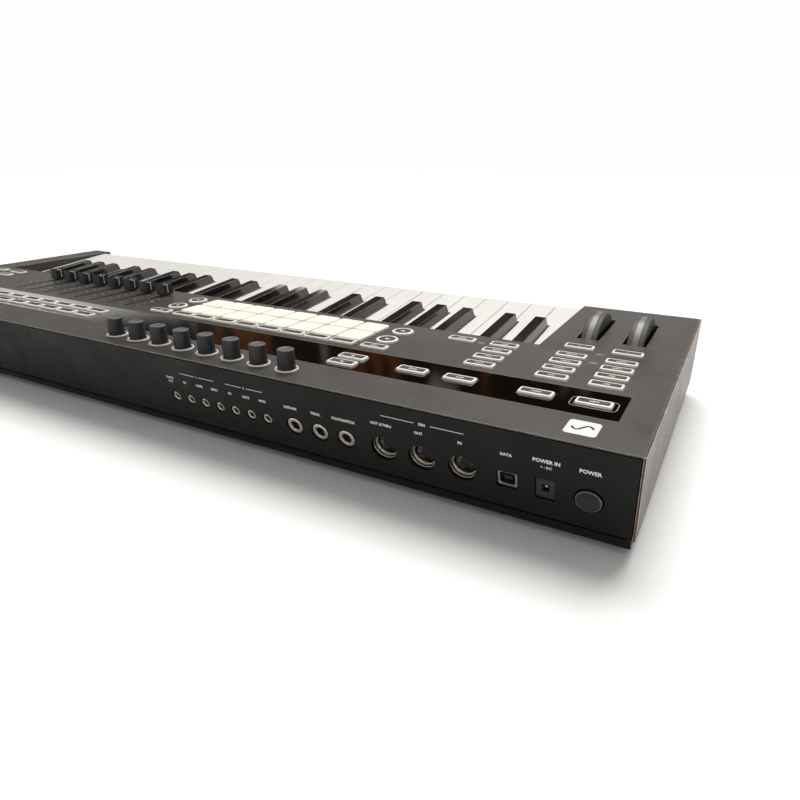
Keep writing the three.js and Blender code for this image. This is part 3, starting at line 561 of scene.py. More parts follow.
class Workshop:
    """Turns drafts and words into Blender objects that ride on the part's bodies."""

    def __init__(self, frame: dict) -> None:
        """Keeps the frame and starts the finishes.
        """
        self.frame = frame
        self.finishes = Finishes()
        self.words: dict[tuple[str, float], tuple[np.ndarray, list[tuple[int, ...]]]] = {}

    def make(
        self,
        name: str,
        draft: Draft,
        finishes: Sequence[str],
        body: str,
        slot: Slot,
        stands_for: Sequence[str] = (),
    ) -> bpy.types.Object:
        """Makes one piece.

        Args:
            name: Name of the object.
            draft: Its mesh.
            finishes: Palette names, in the order that the draft numbers them.
            body: The body that it moves with.
            slot: The record's material slot; not used.
            stands_for: CAD nodes that it replaces.

        Returns:
            The new object.
        """
        mesh = bpy.data.meshes.new(name)
        mesh.from_pydata(draft.local.to_part(np.concatenate(draft.points)), [], draft.faces)
        mesh.polygons.foreach_set("material_index", np.array(draft.skins, np.int32))
        mesh.polygons.foreach_set("use_smooth", np.array(draft.smooth, bool))
        for key in finishes:
            mesh.materials.append(self.finishes.get(key))
        mesh.update()
        thing = bpy.data.objects.new(name, mesh)
        bpy.context.scene.collection.objects.link(thing)
        smooth_edges(mesh)
        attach(thing, body)
        if stands_for:
            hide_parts(*stands_for)
        return thing

    def dress(
        self, node: str, finishes: Sequence[str], edge_mm: float = 0.0, segments: int = 2
    ) -> None:
        """Gives a CAD node its finish and softens its edges.

        Args:
            node: Name of the node.
            finishes: Palette name of the faces and, if there is one, of the softened edges.
            edge_mm: Width of the softened edges, or 0 to leave them.
            segments: Faces across a softened edge.
        """
        thing = self.frame["nodes"][node]
        thing.data.materials.clear()
        for key in finishes:
            thing.data.materials.append(self.finishes.get(key))
        if not edge_mm:
            return
        weld = thing.modifiers.new("weld", "WELD")
        weld.merge_threshold = 1e-5
        flat = thing.modifiers.new("flat faces", "DECIMATE")
        flat.decimate_type = "DISSOLVE"
        flat.angle_limit = math.radians(1)
        soft = thing.modifiers.new("edges", "BEVEL")
        soft.width = edge_mm * MM
        soft.segments = segments
        soft.limit_method = "ANGLE"
        soft.angle_limit = math.radians(35)
        soft.use_clamp_overlap = True
        soft.harden_normals = True
        if len(finishes) > 1:
            soft.material = 1

    def word(self, text: str, height: float) -> tuple[np.ndarray, list[tuple[int, ...]]]:
        """Outlines of a word as flat faces, centred on the origin.

        Args:
            text: The word.
            height: Height of its capitals in millimetres.

        Returns:
            (n, 2) points in millimetres and the faces.
        """
        key = (text, height)
        if key not in self.words:
            curve = bpy.data.curves.new("word", "FONT")
            curve.body = text
            curve.size = 1.0
            curve.offset = 0.024
            curve.resolution_u = 2
            thing = bpy.data.objects.new("word", curve)
            bpy.context.scene.collection.objects.link(thing)
            bpy.context.view_layer.update()
            mesh = thing.evaluated_get(bpy.context.evaluated_depsgraph_get()).to_mesh()
            flat = np.zeros(len(mesh.vertices) * 3)
            mesh.vertices.foreach_get("co", flat)
            faces = [tuple(p.vertices) for p in mesh.polygons]
            thing.evaluated_get(bpy.context.evaluated_depsgraph_get()).to_mesh_clear()
            bpy.data.objects.remove(thing)
            bpy.data.curves.remove(curve)
            points = flat.reshape(-1, 3)[:, :2]
            capital = 0.72
            low, high = points.min(0), points.max(0)
            points = (points - ((low[0] + high[0]) / 2, capital / 2)) * (height / capital)
            self.words[key] = (points, faces)
        return self.words[key]


def smooth_edges(mesh: bpy.types.Mesh, angle: float = 35.0) -> None:
    """Marks edges sharper than an angle, so that smooth faces keep their creases.

    Args:
        mesh: The mesh.
        angle: Angle between faces in degrees.
    """
    mesh.set_sharp_from_angle(angle=math.radians(angle))


class SubAssembly(ABC):
    """A group of pieces that belong together."""

    @abstractmethod
    def build(self, shop: Workshop) -> None:
        """Makes the pieces.

        Args:
            shop: Makes the objects.
        """


# ---- Case -------------------------------------------------------------------------------------
@dataclass
class CaseShell(SubAssembly):
    """The case: top panel, tray, rear panel, cheeks, feet and what is inside."""

    panel_highlight_edge: float = 0.45
    shell_edge: float = 0.5
    cheek_highlight_edge: float = 0.4

    def build(self, shop: Workshop) -> None:
        """Dresses the CAD nodes of the case.

        Args:
            shop: Makes the objects.
        """
        # The softened edge of the top panel takes the lighter finish: a painted highlight.
        shop.dress("top_panel", ["panel", "panel_highlight_edge"], self.panel_highlight_edge)
        # The softened edges of the tray and the rear panel take a lighter finish: a painted highlight.
        shop.dress("bottom_tray", ["black", "black_highlight_edge"], self.shell_edge)
        shop.dress("rear_panel", ["black", "black_highlight_edge"], 0.3)
        # The softened edges of the cheeks take a lighter finish: a painted highlight.
        for end in ("left", "right"):
            shop.dress(f"end_cheek_{end}", ["cheek", "cheek_highlight_edge"], self.cheek_highlight_edge)
        for end in ("rear_left", "rear_right", "front_left", "front_right"):
            shop.dress(f"foot_{end}", ["foot"], 0.5)
        shop.dress("control_board", ["board"])
        shop.dress("main_board", ["board"])
        shop.dress("key_frame", ["steel"])
        shop.dress("key_pivot_rod", ["steel"])
        shop.dress("wheel_bracket", ["black"], 0.4)
        shop.dress("wheel_axle", ["steel"])


@dataclass
class WindowStrip(SubAssembly):
    """The black lens along the top panel, with a loop printed round its first button."""

    line: float = 0.6

    def build(self, shop: Workshop) -> None:
        """Dresses the lens and prints the loop.

        Args:
            shop: Makes the objects.
        """
        shop.dress("screen_window", ["lens", "lens_line"], 0.3)
        lines = Draft()
        frame_line(lines, (LEFT_U[0], -57.0), (28.0, 16.0), 4.0, self.line, 0.0)
        shop.make("window_print", lines, ["lens_line"], "case", Slot.WINDOW)


def frame_line(
    draft: Draft,
    centre: tuple[float, float],
    size: tuple[float, float],
    radius: float,
    width: float,
    level: float,
) -> None:
    """Adds a closed printed line along a rounded rectangle.

    Args:
        draft: Receives the line.
        centre: Centre of the rectangle.
        size: Outer size of the rectangle.
        radius: Outer radius of its corners.
        width: Width of the line.
        level: Level of the surface under it.
    """
    outer = rounded(size[0], size[1], radius, 5) + np.array(centre)
    inner = rounded(size[0] - 2 * width, size[1] - 2 * width, max(radius - width, 0.1), 5) + np.array(centre)
    rings = [
        np.column_stack([outer, np.full(len(outer), level)]),
        np.column_stack([outer, np.full(len(outer), level + LAYER)]),
        np.column_stack([inner, np.full(len(inner), level + LAYER)]),
        np.column_stack([inner, np.full(len(inner), level)]),
    ]
    draft.loft(np.array(rings), 0, start=False, end=False, smooth=False)


# ---- Knobs ------------------------------------------------------------------------------------
@dataclass
class KnobBank(SubAssembly):
    """Eight rotary knobs, each standing in a milky ring."""

    radius: float = 6.3
    height: float = 14.3
    sides: int = 60
    flute: float = 0.09
    ring_outer: float = 8.1
    ring_inner: float = 7.1

    def build(self, shop: Workshop) -> None:
        """Makes the knobs and the rings.

        Args:
            shop: Makes the objects.
        """
        for i in range(8):
            draft = Draft()
            self.knob(draft, KNOB_U + i * CHANNEL_PITCH)
            shop.make(
                f"knob_cap_{i + 1}",
                draft,
                ["control", "control_highlight"],
                f"knob_{i + 1}",
                Slot.CONTROL,
                [f"knob_{i + 1}"],
            )
        rings = Draft()
        for i in range(8):
            self.ring(rings, KNOB_U + i * CHANNEL_PITCH)
        self.strip(rings)
        shop.make("knob_rings", rings, ["guide"], "case", Slot.GUIDE, ["knob_ring_guide"])

    def knob(self, draft: Draft, u: float) -> None:
        """Adds one knob: a fluted, slightly tapered cap with a rounded rim and a dished top.

        Args:
            draft: Receives the knob.
            u: Place along the panel.
        """
        levels = [
            (3.0, -7.0, 0.0),
            (3.0, 0.5, 0.0),
            (self.radius - 0.35, 0.5, 0.0),
            (self.radius - 0.05, 0.8, 0.4),
            (self.radius - 0.05, 1.6, 1.0),
            (self.radius - 0.3, 12.6, 1.0),
            (self.radius - 0.35, self.height - 0.9, 0.3),
            (self.radius - 0.45, self.height - 0.45, 0.0),
            (self.radius - 0.75, self.height - 0.1, 0.0),
            (self.radius - 1.1, self.height, 0.0),
            (self.radius - 1.5, self.height - 0.05, 0.0),
            (self.radius - 2.2, self.height - 0.35, 0.0),
            (1.5, self.height - 0.55, 0.0),
        ]
        # The rim and the dished top take the lighter finish: a painted highlight.
        skins = [0] * 6 + [0, 1, 1, 1, 1, 1] + [0, 1]
        rings = []
        for radius, z, flutes in levels:
            flat = circle(radius, self.sides)
            flat[::2] *= 1 - self.flute * flutes / self.radius
            rings.append(np.column_stack([flat[:, 0] + u, flat[:, 1] - KNOB_V, np.full(self.sides, z)]))
        draft.loft(np.array(rings), skins)

    def ring(self, draft: Draft, u: float) -> None:
        """Adds one upstanding ring with rounded edges.

        Args:
            draft: Receives the ring.
            u: Place along the panel.
        """
        section = [
            (self.ring_outer, -4.4),
            (self.ring_outer, 0.45),
            (self.ring_outer - 0.1, 0.7),
            (self.ring_outer - 0.3, 0.8),
            (self.ring_inner + 0.3, 0.8),
            (self.ring_inner + 0.1, 0.7),
            (self.ring_inner, 0.45),
            (self.ring_inner, -4.4),
            (self.ring_outer, -4.4),
        ]
        rings = [np.column_stack([circle(r, 48) + (u, -KNOB_V), np.full(48, z)]) for r, z in section]
        draft.loft(np.array(rings), 0, start=False, end=False)

    def strip(self, draft: Draft) -> None:
        """Adds the flat strip under the panel that joins the rings.

        Args:
            draft: Receives the strip.
        """
        half = 3.5 * CHANNEL_PITCH
        centre = (KNOB_U + half, -KNOB_V)
        draft.stack(
            lambda inset: rounded(2 * half + 20 - 2 * inset, 20 - 2 * inset, 2),
            [(0, -5.0), (0, -4.0), (0.2, -3.8)],
            centre,
        )


# ---- Faders -----------------------------------------------------------------------------------
@dataclass
class FaderBank(SubAssembly):
    """Eight faders: waisted black caps with a white line, and printed scales between the slots."""

    rest_v: float = 139.0
    width: float = 10.0
    depth: float = 13.0
    height: float = 12.5
    scale: tuple[float, ...] = (95.0, 103.5, 112.0, 120.5, 129.0)

    def build(self, shop: Workshop) -> None:
        """Makes the caps and the scales.

        Args:
            shop: Makes the objects.
        """
        for i in range(8):
            draft = Draft()
            self.cap(draft, FADER_U + i * CHANNEL_PITCH)
            shop.make(
                f"fader_grip_{i + 1}",
                draft,
                ["control", "white_ink", "control_highlight"],
                f"fader_cap_{i + 1}",
                Slot.CONTROL,
                [f"fader_cap_{i + 1}"],
            )
        marks = Draft()
        for i in range(9):
            u = FADER_U + (i - 0.5) * CHANNEL_PITCH
            for v in self.scale:
                printed_box(marks, (u, -v), (3.4 if v == self.scale[2] else 2.0, 0.7))
        shop.make("fader_scales", marks, ["white_ink"], "case", Slot.CASE_TOP)

    def cap(self, draft: Draft, u: float) -> None:
        """Adds one cap. Its side outline is waisted: the finger rests in a hollow across the top.

        Args:
            draft: Receives the cap.
            u: Place along the panel.
        """
        half, top = self.depth / 2, self.height
        side = np.array(
            [
                (-half, 1.2),
                (-half + 0.2, 1.0),
                (half - 0.2, 1.0),
                (half, 1.2),
                (half - 0.4, top - 0.9),
                (half - 0.8, top - 0.2),
                (half - 1.4, top),
                (half - 2.4, top - 0.5),
                (2.0, top - 1.6),
                (0.45, top - 1.75),
                (-0.45, top - 1.75),
                (-2.0, top - 1.6),
                (-half + 2.4, top - 0.5),
                (-half + 1.4, top),
                (-half + 0.8, top - 0.2),
                (-half + 0.4, top - 0.9),
            ]
        )
        steps = [(-1.0, 0.35), (-0.94, 0.1), (-0.86, 0.0), (0.86, 0.0), (0.94, 0.1), (1.0, 0.35)]
        rings = []
        for share, inset in steps:
            shrink = np.array([1 - inset / half, 1 - inset / top])
            flat = (side - (0, top / 2)) * shrink + (0, top / 2)
            x = np.full(len(flat), u + share * self.width / 2)
            rings.append(np.column_stack([x, flat[:, 0] - self.rest_v, flat[:, 1]]))
        # The rounded ends take the lighter finish: a painted highlight.
        draft.loft(np.array(rings), [2, 0, 0, 0, 2, 0, 0])
        line = np.array([(-0.4, 0), (0.4, 0), (0.4, 0.05), (-0.4, 0.05)])
        line_rings = [
            np.column_stack([np.full(4, u + x), line[:, 0] - self.rest_v, line[:, 1] + top - 1.74])
            for x in (-self.width / 2 + 0.3, self.width / 2 - 0.3)
        ]
        draft.loft(np.array(line_rings), 1)
        end_line = rounded(0.8, 7.5, 0.2, 2)
        for sign in (-1, 1):
            x = u + sign * (self.width / 2 + 0.01)
            rings = [
                np.column_stack(
                    [np.full(len(end_line), x + d), end_line[:, 0] - self.rest_v, end_line[:, 1] + 6.8]
                )
                for d in (-0.02, 0.02)
            ]
            draft.loft(np.array(rings), 1)
        draft.stack(lambda inset: rounded(1.4, 5.0, 0.3), [(0, -11.0), (0, 1.5)], (u, -self.rest_v), 2)


def printed_box(
    draft: Draft, centre: tuple[float, float], size: tuple[float, float], level: float = 0.0
) -> None:
    """Adds a small printed bar.

    Args:
        draft: Receives it.
        centre: Its centre in the plane of the face.
        size: Its width and depth.
        level: Level of the surface under it.
    """
    draft.stack(
        lambda inset: rounded(size[0], size[1], min(size) * 0.2, 2),
        [(0, level), (0, level + LAYER)],
        centre,
        upright=draft.local is Local.TOP,
        start=False,
    )


# ---- Buttons and pads -------------------------------------------------------------------------
@dataclass(frozen=True)
class Button:
    """One button on a mat.

    Attributes:
        u: Place along the panel.
        v: Place from its back edge.
        mark: Word or sign printed on it.
        is_round: True for the round arrow buttons.
    """

    u: float
    v: float
    mark: str = ""
    is_round: bool = False


@dataclass
class ButtonMat(SubAssembly):
    """A silicone mat of buttons with dark printed tops and light legends."""

    name: str
    body: str
    buttons: tuple[Button, ...]
    bottom: float = -6.5
    rise: float = 1.5
    width: float = 21.7
    depth: float = 9.4

    def build(self, shop: Workshop) -> None:
        """Makes the mat and its legends.

        Args:
            shop: Makes the objects.
        """
        rectangle, disc = Draft(), Draft()
        self.rectangle(rectangle)
        self.disc(disc)
        draft, legends = Draft(), Draft()
        for b in self.buttons:
            (disc if b.is_round else rectangle).copy_to(draft, (b.u, -b.v, 0))
            self.legend(shop, legends, b)
        self.web(draft)
        shop.make(self.name, draft, ["button", "dark_ink"], self.body, Slot.BUTTON, [self.body])
        shop.make(f"{self.name}_print", legends, ["white_ink"], self.body, Slot.BUTTON)

    def rectangle(self, draft: Draft) -> None:
        """Adds a rounded rectangular button with a dark inset top.

        Args:
            draft: Receives it.
        """
        levels = [(0.0, self.bottom), *bevel(self.rise, 0.7, 4), (1.6, self.rise), (1.85, self.rise - 0.12)]
        draft.stack(
            lambda inset: rounded(
                self.width - 2 * inset, self.depth - 2 * inset, max(1.5 - inset * 0.5, 0.5), 4
            ),
            levels,
            (0, 0),
            [0] * (len(levels) - 2) + [1, 0, 1],
        )

    def disc(self, draft: Draft) -> None:
        """Adds a round button: a white rim round a dark, slightly domed centre.

        Args:
            draft: Receives it.
        """
        levels = [(0.0, self.bottom), *bevel(self.rise, 0.7, 4), (2.2, self.rise), (2.4, self.rise - 0.15)]
        draft.stack(
            lambda inset: circle(8.8 - inset, 40), levels, (0, 0), [0] * (len(levels) - 2) + [1, 0, 1]
        )

    def web(self, draft: Draft) -> None:
        """Adds the thin sheet under the panel that joins the buttons in one mat.

        Args:
            draft: Receives it.
        """
        us = sorted({b.u for b in self.buttons})
        for u in us:
            vs = [b.v for b in self.buttons if b.u == u]
            low, high = min(vs) - 3, max(vs) + 3
            draft.stack(
                lambda inset, d=high - low: rounded(8, d, 1),
                [(0, self.bottom), (0, self.bottom + 0.9)],
                (u, -(low + high) / 2),
            )
        low, high = us[0], us[-1]
        draft.stack(
            lambda inset: rounded(high - low, 5, 1),
            [(0, self.bottom + 0.05), (0, self.bottom + 0.95)],
            ((low + high) / 2, -self.buttons[-1].v),
        )

    def legend(self, shop: Workshop, draft: Draft, b: Button) -> None:
        """Prints the mark of one button.

        Args:
            shop: Gives the outlines of words.
            draft: Receives the print.
            b: The button.
        """
        level = self.rise - 0.12
        if b.mark in ARROWS:
            turn = ARROWS[b.mark]
            size = 2.6 if b.is_round else 1.9
            flat = circle(size, 3, math.pi / 2 + turn) * (1.0, 0.85) + (b.u, -b.v)
            rings = [np.column_stack([flat, np.full(3, level + d)]) for d in (0, LAYER)]
            draft.loft(np.array(rings), 0, start=False, smooth=False)
        elif b.mark:
            points, faces = shop.word(b.mark, 1.9)
            flat = points * (0.9, 1.0) + (b.u, -b.v)
            draft.put(
                np.column_stack([flat, np.full(len(flat), level + LAYER)]), faces, [0] * len(faces), False
            )


ARROWS = {"up": 0.0, "down": math.pi, "left": math.pi / 2, "right": -math.pi / 2}


@dataclass
class PadGrid(SubAssembly):
    """Two rows of eight square silicone pads."""

    size: float = 22.8
    rise: float = 2.0
    bottom: float = -6.5
    first_v: float = 97.0 + 11.4

    def build(self, shop: Workshop) -> None:
        """Makes the pads and the sheet that joins them.

        Args:
            shop: Makes the objects.
        """
        pad, draft = Draft(), Draft()
        levels = [
            (0.0, self.bottom + 0.5),
            *bevel(self.rise - 0.15, 0.9, 5),
            (2.2, self.rise - 0.03),
            (5.0, self.rise),
        ]
        pad.stack(
            lambda inset: rounded(
                self.size - 2 * inset, self.size - 2 * inset, max(2.2 - inset * 0.4, 0.6), 5
            ),
            levels,
            (0, 0),
        )
        for row in range(2):
            for i in range(8):
                pad.copy_to(draft, (PAD_U + i * CHANNEL_PITCH, -self.first_v - row * CHANNEL_PITCH, 0))
        half = 3.5 * CHANNEL_PITCH
        # The sheet that joins the pads takes the near-black finish: painted shade in the gaps round the pads.
        draft.stack(
            lambda inset: rounded(2 * half + 20, CHANNEL_PITCH + 20, 1),
            [(0, self.bottom), (0, self.bottom + 1)],
            (PAD_U + half, -self.first_v - CHANNEL_PITCH / 2),
            1,
        )
        shop.make("pads", draft, ["pad", "dark"], "pad_mat", Slot.PAD, ["pad_mat"])


# ---- Wheels -----------------------------------------------------------------------------------
@dataclass
class WheelPair(SubAssembly):
    """Pitch and modulation wheels: rubber rims with a lighter middle ridge, a painted highlight, on dark
    discs.
    """

    v: float = 224.0
    z: float = 13.5 - 43.0
    radius: float = 43.0
    width: float = 12.5
    steps: int = 96

    def build(self, shop: Workshop) -> None:
        """Makes both wheels.

        Args:
            shop: Makes the objects.
        """
        for u, body in zip(LEFT_U, ("pitch_wheel", "mod_wheel"), strict=True):
            draft = Draft()
            self.wheel(draft, u)
            shop.make(f"{body}_disc", draft, ["tyre", "tyre_ridge_highlight", "hub"], body, Slot.WHEEL, [body])

    def wheel(self, draft: Draft, u: float) -> None:
        """Adds one half disc: a rim section swept over the upper half, closed by a flat underside.

        Args:
            draft: Receives the wheel.
            u: Place along the panel.
        """
        half = self.width / 2
        section = np.array(
            [
                (-half, 14.0),
                (-half, 1.4),
                (-half + 0.15, 0.7),
                (-half + 0.7, 0.35),
                (-2.6, 0.3),
                (-2.2, 0.0),
                (2.2, 0.0),
                (2.6, 0.3),
                (half - 0.7, 0.35),
                (half - 0.15, 0.7),
                (half, 1.4),
                (half, 14.0),
            ]
        )
        sweep = np.linspace(math.radians(-8), math.radians(188), self.steps)
        notch = 0.9 * np.exp(-(((sweep - math.pi / 2) / math.radians(6)) ** 2))
        grip = 0.12 * (np.cos(sweep * 110) > 0)
        rings = []
        for a, dip, rib in zip(sweep, notch, grip, strict=True):
            out = section[:, 1].copy()
            out[4:8] += dip
            out[[2, 3, 4, 7, 8, 9]] += rib
            r = self.radius - out
            y = -self.v + r * math.cos(a)
            z = self.z + r * math.sin(a)
            rings.append(np.column_stack([section[:, 0] + u, y, z]))
        grid = np.array(rings)
        n = len(section)
        i, j = np.arange(self.steps - 1)[:, None] * n, np.arange(n)[None, :]
        k = (j + 1) % n
        quads = np.stack([i + j, i + k, i + n + k, i + n + j], 2).reshape(-1, 4)
        # The middle ridge band takes the lighter finish: a painted highlight.
        skin = np.array([2, 0, 0, 0, 0, 1, 0, 0, 0, 0, 2, 2])
        draft.put(grid.reshape(-1, 3), quads.tolist(), np.tile(skin, self.steps - 1).tolist(), True)
        first = draft.count - self.steps * n
        for ring, order in ((0, range(n)), (self.steps - 1, range(n - 1, -1, -1))):
            draft.faces.append(tuple(first + ring * n + p for p in order))
            draft.skins.append(2)
            draft.smooth.append(False)
        axle = np.linspace(0, 2 * math.pi, 33)[:-1]
        for x0, x1 in ((-half, -half + 2.2), (half - 2.2, half)):
            hub = []
            for x, r in ((x0 + 0.4, self.radius - 13.0), (x1 - 0.4, self.radius - 13.0)):
                angles = np.clip(axle, 0, math.pi)
                y, z = -self.v + r * np.cos(angles), self.z + np.maximum(r * np.sin(angles), -6)
                z = np.where(axle > math.pi, self.z - 6, z)
                y = np.where(axle > math.pi, -self.v + r * np.cos(axle), y)
                hub.append(np.column_stack([np.full(len(axle), u + x), y, z]))
            draft.loft(np.array(hub), 2, smooth=False)


# ---- Keys -------------------------------------------------------------------------------------
@dataclass
class Keyboard(SubAssembly):
    """The white and black keys, dressed on the CAD nodes."""

    white_edge: float = 0.55
    black_highlight_edge: float = 0.8

    def build(self, shop: Workshop) -> None:
        """Dresses all keys.

        Args:
            shop: Makes the objects.
        """
        for note in "cdefgab":
            shop.dress(f"key_{note}", ["ivory"], self.white_edge, 3)
        # The softened edges of the black keys take a lighter finish: a painted highlight.
        for note in "cdfga":
            shop.dress(f"key_{note}_sharp", ["ebony", "ebony_highlight_edge"], self.black_highlight_edge, 3)
        shop.dress("upper_white_keys", ["ivory"], self.white_edge, 3)
        shop.dress("upper_sharp_keys", ["ebony", "ebony_highlight_edge"], self.black_highlight_edge, 3)


# ---- Sockets ----------------------------------------------------------------------------------
@dataclass
class SocketPanel(SubAssembly):
    """Everything in the rear panel: round data sockets, jacks, square inlets and the power button."""

    depth: float = 14.0
    board: float = 1.6

    def build(self, shop: Workshop) -> None:
        """Makes the sockets and the power button.

        Args:
            shop: Makes the objects.
        """
        self.row(shop, "patch_jacks", "patch_jack_row", [245.9 + 14.8 * i for i in range(7)], 1.8, 3.8)
        self.row(shop, "pedal_jacks", "pedal_jack_row", [180.0 + 21 * i for i in range(3)], 3.2, 6.2)
        self.data_sockets(shop)
        self.usb(shop)
        self.inlet(shop)
        self.power(shop)

    def back_board(self, draft: Draft, us: Sequence[float], skin: int) -> None:
        """Adds the board behind a row of sockets.

        Args:
            draft: Receives it.
            us: Places of the sockets.
            skin: Number of its finish.
        """
        width = us[-1] - us[0] + 20
        draft.stack(
            lambda inset: rounded(width - 2 * inset, 24 - 2 * inset, 1.5),
            [(0, -self.depth - self.board), (0, -self.depth - 0.2), (0.2, -self.depth)],
            ((us[0] + us[-1]) / 2, -38.0),
            skin,
            upright=False,
        )

    def barrel(
        self,
        draft: Draft,
        u: float,
        section: Sequence[tuple[float, float]],
        skins: Sequence[int],
        sides: int = 40,
    ) -> None:
        """Adds a body turned about an axis square to the rear panel.

        Args:
            draft: Receives it.
            u: Place along the panel.
            section: (radius, y) pairs, from the outside round to the inside.
            skins: Finish of each band and then of the two caps.
            sides: Points round it.
        """
        rings = []
        for radius, y in section:
            flat = circle(radius, sides)[::-1]
            rings.append(np.column_stack([flat[:, 0] + u, np.full(sides, y), flat[:, 1] - SOCKET_W]))
        draft.loft(np.array(rings), skins, start=False)

    def row(
        self, shop: Workshop, name: str, node: str, us: Sequence[float], bore: float, nose: float
    ) -> None:
        """Makes a row of jacks: a chamfered bright collar round a dark bore with a contact inside.

        Args:
            shop: Makes the objects.
            name: Name of the piece.
            node: The CAD node that it stands for.
            us: Places of the jacks.
            bore: Radius of the bore.
            nose: Radius of the collar.
        """
        draft = Draft(Local.REAR)
        self.back_board(draft, us, 2)
        for u in us:
            section = [
                (nose, -self.depth),
                (nose, -1.0),
                (nose - 0.15, -0.65),
                (nose - 0.5, -0.5),
                (bore + 0.75, -0.5),
                (bore + 0.45, -0.62),
                (bore + 0.1, -1.3),
                (bore, -1.8),
                (bore, -self.depth + 1),
            ]
            self.barrel(draft, u, section, [0, 0, 0, 0, 0, 0, 0, 1, 1, 1])
            tab = rounded(bore * 0.9, bore * 0.5, 0.2, 2)
            rings = [
                np.column_stack(
                    [tab[:, 0] + u, np.full(len(tab), y), tab[:, 1] - SOCKET_W - bore * 0.7]
                )[::-1]
                for y in (-7.0, -4.0)
            ]
            draft.loft(np.array(rings), 3)
        shop.make(name, draft, ["nickel", "dark", "board", "tin"], "case", Slot.NICKEL, [node])

    def data_sockets(self, shop: Workshop) -> None:
        """Makes the three round data sockets: bright shell, dark insulator and five sleeves.

        Args:
            shop: Makes the objects.
        """
        us = [98.3 + 26.7 * i for i in range(3)]
        draft = Draft(Local.REAR)
        self.back_board(draft, us, 2)
        for u in us:
            section = [
                (8.9, -self.depth),
                (8.9, -2.9),
                (8.8, -2.6),
                (8.6, -2.5),
                (8.45, -2.6),
                (8.3, -3.1),
                (8.2, -4.4),
                (8.0, -4.7),
                (7.3, -4.8),
                (7.1, -5.0),
                (7.0, -5.4),
                (7.0, -12.0),
            ]
            self.barrel(draft, u, section, [0] * 12 + [1], 48)
            self.barrel(draft, u, [(6.6, -12.0), (6.6, -6.9), (6.3, -6.6), (0.4, -6.6)], [4, 4, 4, 4, 4], 40)
            for k in range(5):
                a = math.radians(-90 + (k - 2) * 45 + 180)
                x, w = 4.4 * math.cos(a), 4.4 * math.sin(a)
                flat = circle(0.95, 14)[::-1]
                inner = circle(0.6, 14)[::-1]
                rings = [
                    np.column_stack([f[:, 0] + u + x, np.full(14, y), f[:, 1] - SOCKET_W + w])
                    for f, y in ((flat, -6.65), (flat, -6.5), (inner, -6.5), (inner, -6.62))
                ]
                draft.loft(np.array(rings), [3, 3, 3, 1, 1], start=False)
            key = rounded(3.2, 1.6, 0.4, 3)
            rings = [
                np.column_stack([key[:, 0] + u, np.full(len(key), y), key[:, 1] - SOCKET_W - 6.3])[::-1]
                for y in (-6.6, -5.2)
            ]
            draft.loft(np.array(rings), 1)
        finishes = ["nickel", "dark", "board", "tin", "hub"]
        shop.make("data_sockets", draft, finishes, "case", Slot.NICKEL, ["din_socket_row"])

    def usb(self, shop: Workshop) -> None:
        """Makes the square data inlet: folded steel shell, white tongue and four contacts; the tongue and the
        inside of the shell are painted dark as shade.

        Args:
            shop: Makes the objects.
        """
        u, draft = 70.3, Draft(Local.REAR)
        rings = []
        for width, height, y in (
            (12.0, 11.0, -self.depth),
            (12.0, 11.0, -1.5),
            (11.6, 10.6, -1.3),
            (9.4, 8.7, -1.3),
            (8.7, 8.0, -1.8),
            (8.6, 7.9, -9.5),
        ):
            flat = rounded(width, height, 1.0, 4)[::-1]
            rings.append(np.column_stack([flat[:, 0] + u, np.full(len(flat), y), flat[:, 1] - SOCKET_W]))
        # The inner walls and floor of the shell take the dark finish: painted shade in the socket.
        draft.loft(np.array(rings), [0, 0, 0, 0, 1, 0, 1])
        # The white tongue takes the black wheel-side finish: painted shade in the socket.
        draft.stack(
            lambda inset: rounded(5.6 - 2 * inset, 3.2 - 2 * inset, 0.4),
            [(0, -9.6), (0, -2.9), (0.3, -2.6)],
            (u, -SOCKET_W),
            2,
            upright=False,
        )
        for k in (-1.5, 1.5):
            draft.stack(
                lambda inset: rounded(1.1, 0.12, 0.05, 2),
                [(0, -9.0), (0, -3.4)],
                (u + k, -SOCKET_W + 1.62),
                3,
                upright=False,
            )
        shop.make("square_socket", draft, ["steel", "dark", "hub", "tin"], "case", Slot.STEEL, ["usb_socket"])

    def inlet(self, shop: Workshop) -> None:
        """Makes the power inlet: a black block with a round mouth and a bright pin.

        Args:
            shop: Makes the objects.
        """
        u, draft, n = 48.0, Draft(Local.REAR), 32
        square = rounded(11.0, 14.0, 0.6, 8)[::-1]
        turn = np.arctan2(square[:, 1], square[:, 0])
        mouth = np.stack([np.cos(turn), np.sin(turn)], 1)
        rings = []
        for flat, y in (
            (square, -self.depth),
            (square, -1.2),
            (square * 0.97, -1.0),
            (mouth * 3.3, -1.0),
            (mouth * 2.95, -1.4),
            (mouth * 2.9, -10.0),
        ):
            rings.append(np.column_stack([flat[:, 0] + u, np.full(n, y), flat[:, 1] - SOCKET_W]))
        draft.loft(np.array(rings), [0, 0, 0, 0, 1, 0, 1])
        self.barrel(draft, u, [(1.0, -10.5), (1.0, -3.1), (0.8, -2.7), (0.4, -2.5)], [2, 2, 2, 2, 2], 20)
        shop.make("power_inlet", draft, ["control", "dark", "nickel"], "case", Slot.CASE_BLACK, ["dc_inlet"])

    def power(self, shop: Workshop) -> None:
        """Makes the round power button.

        Args:
            shop: Makes the objects.
        """
        draft = Draft(Local.REAR)
        section = [
            (3.0, -self.depth + 3.0),
            (3.0, -5.0),
            (7.4, -5.0),
            (7.4, 0.5),
            (7.3, 0.85),
            (7.0, 1.1),
            (6.6, 1.2),
            (5.8, 1.12),
            (3.0, 0.85),
            (1.0, 0.8),
        ]
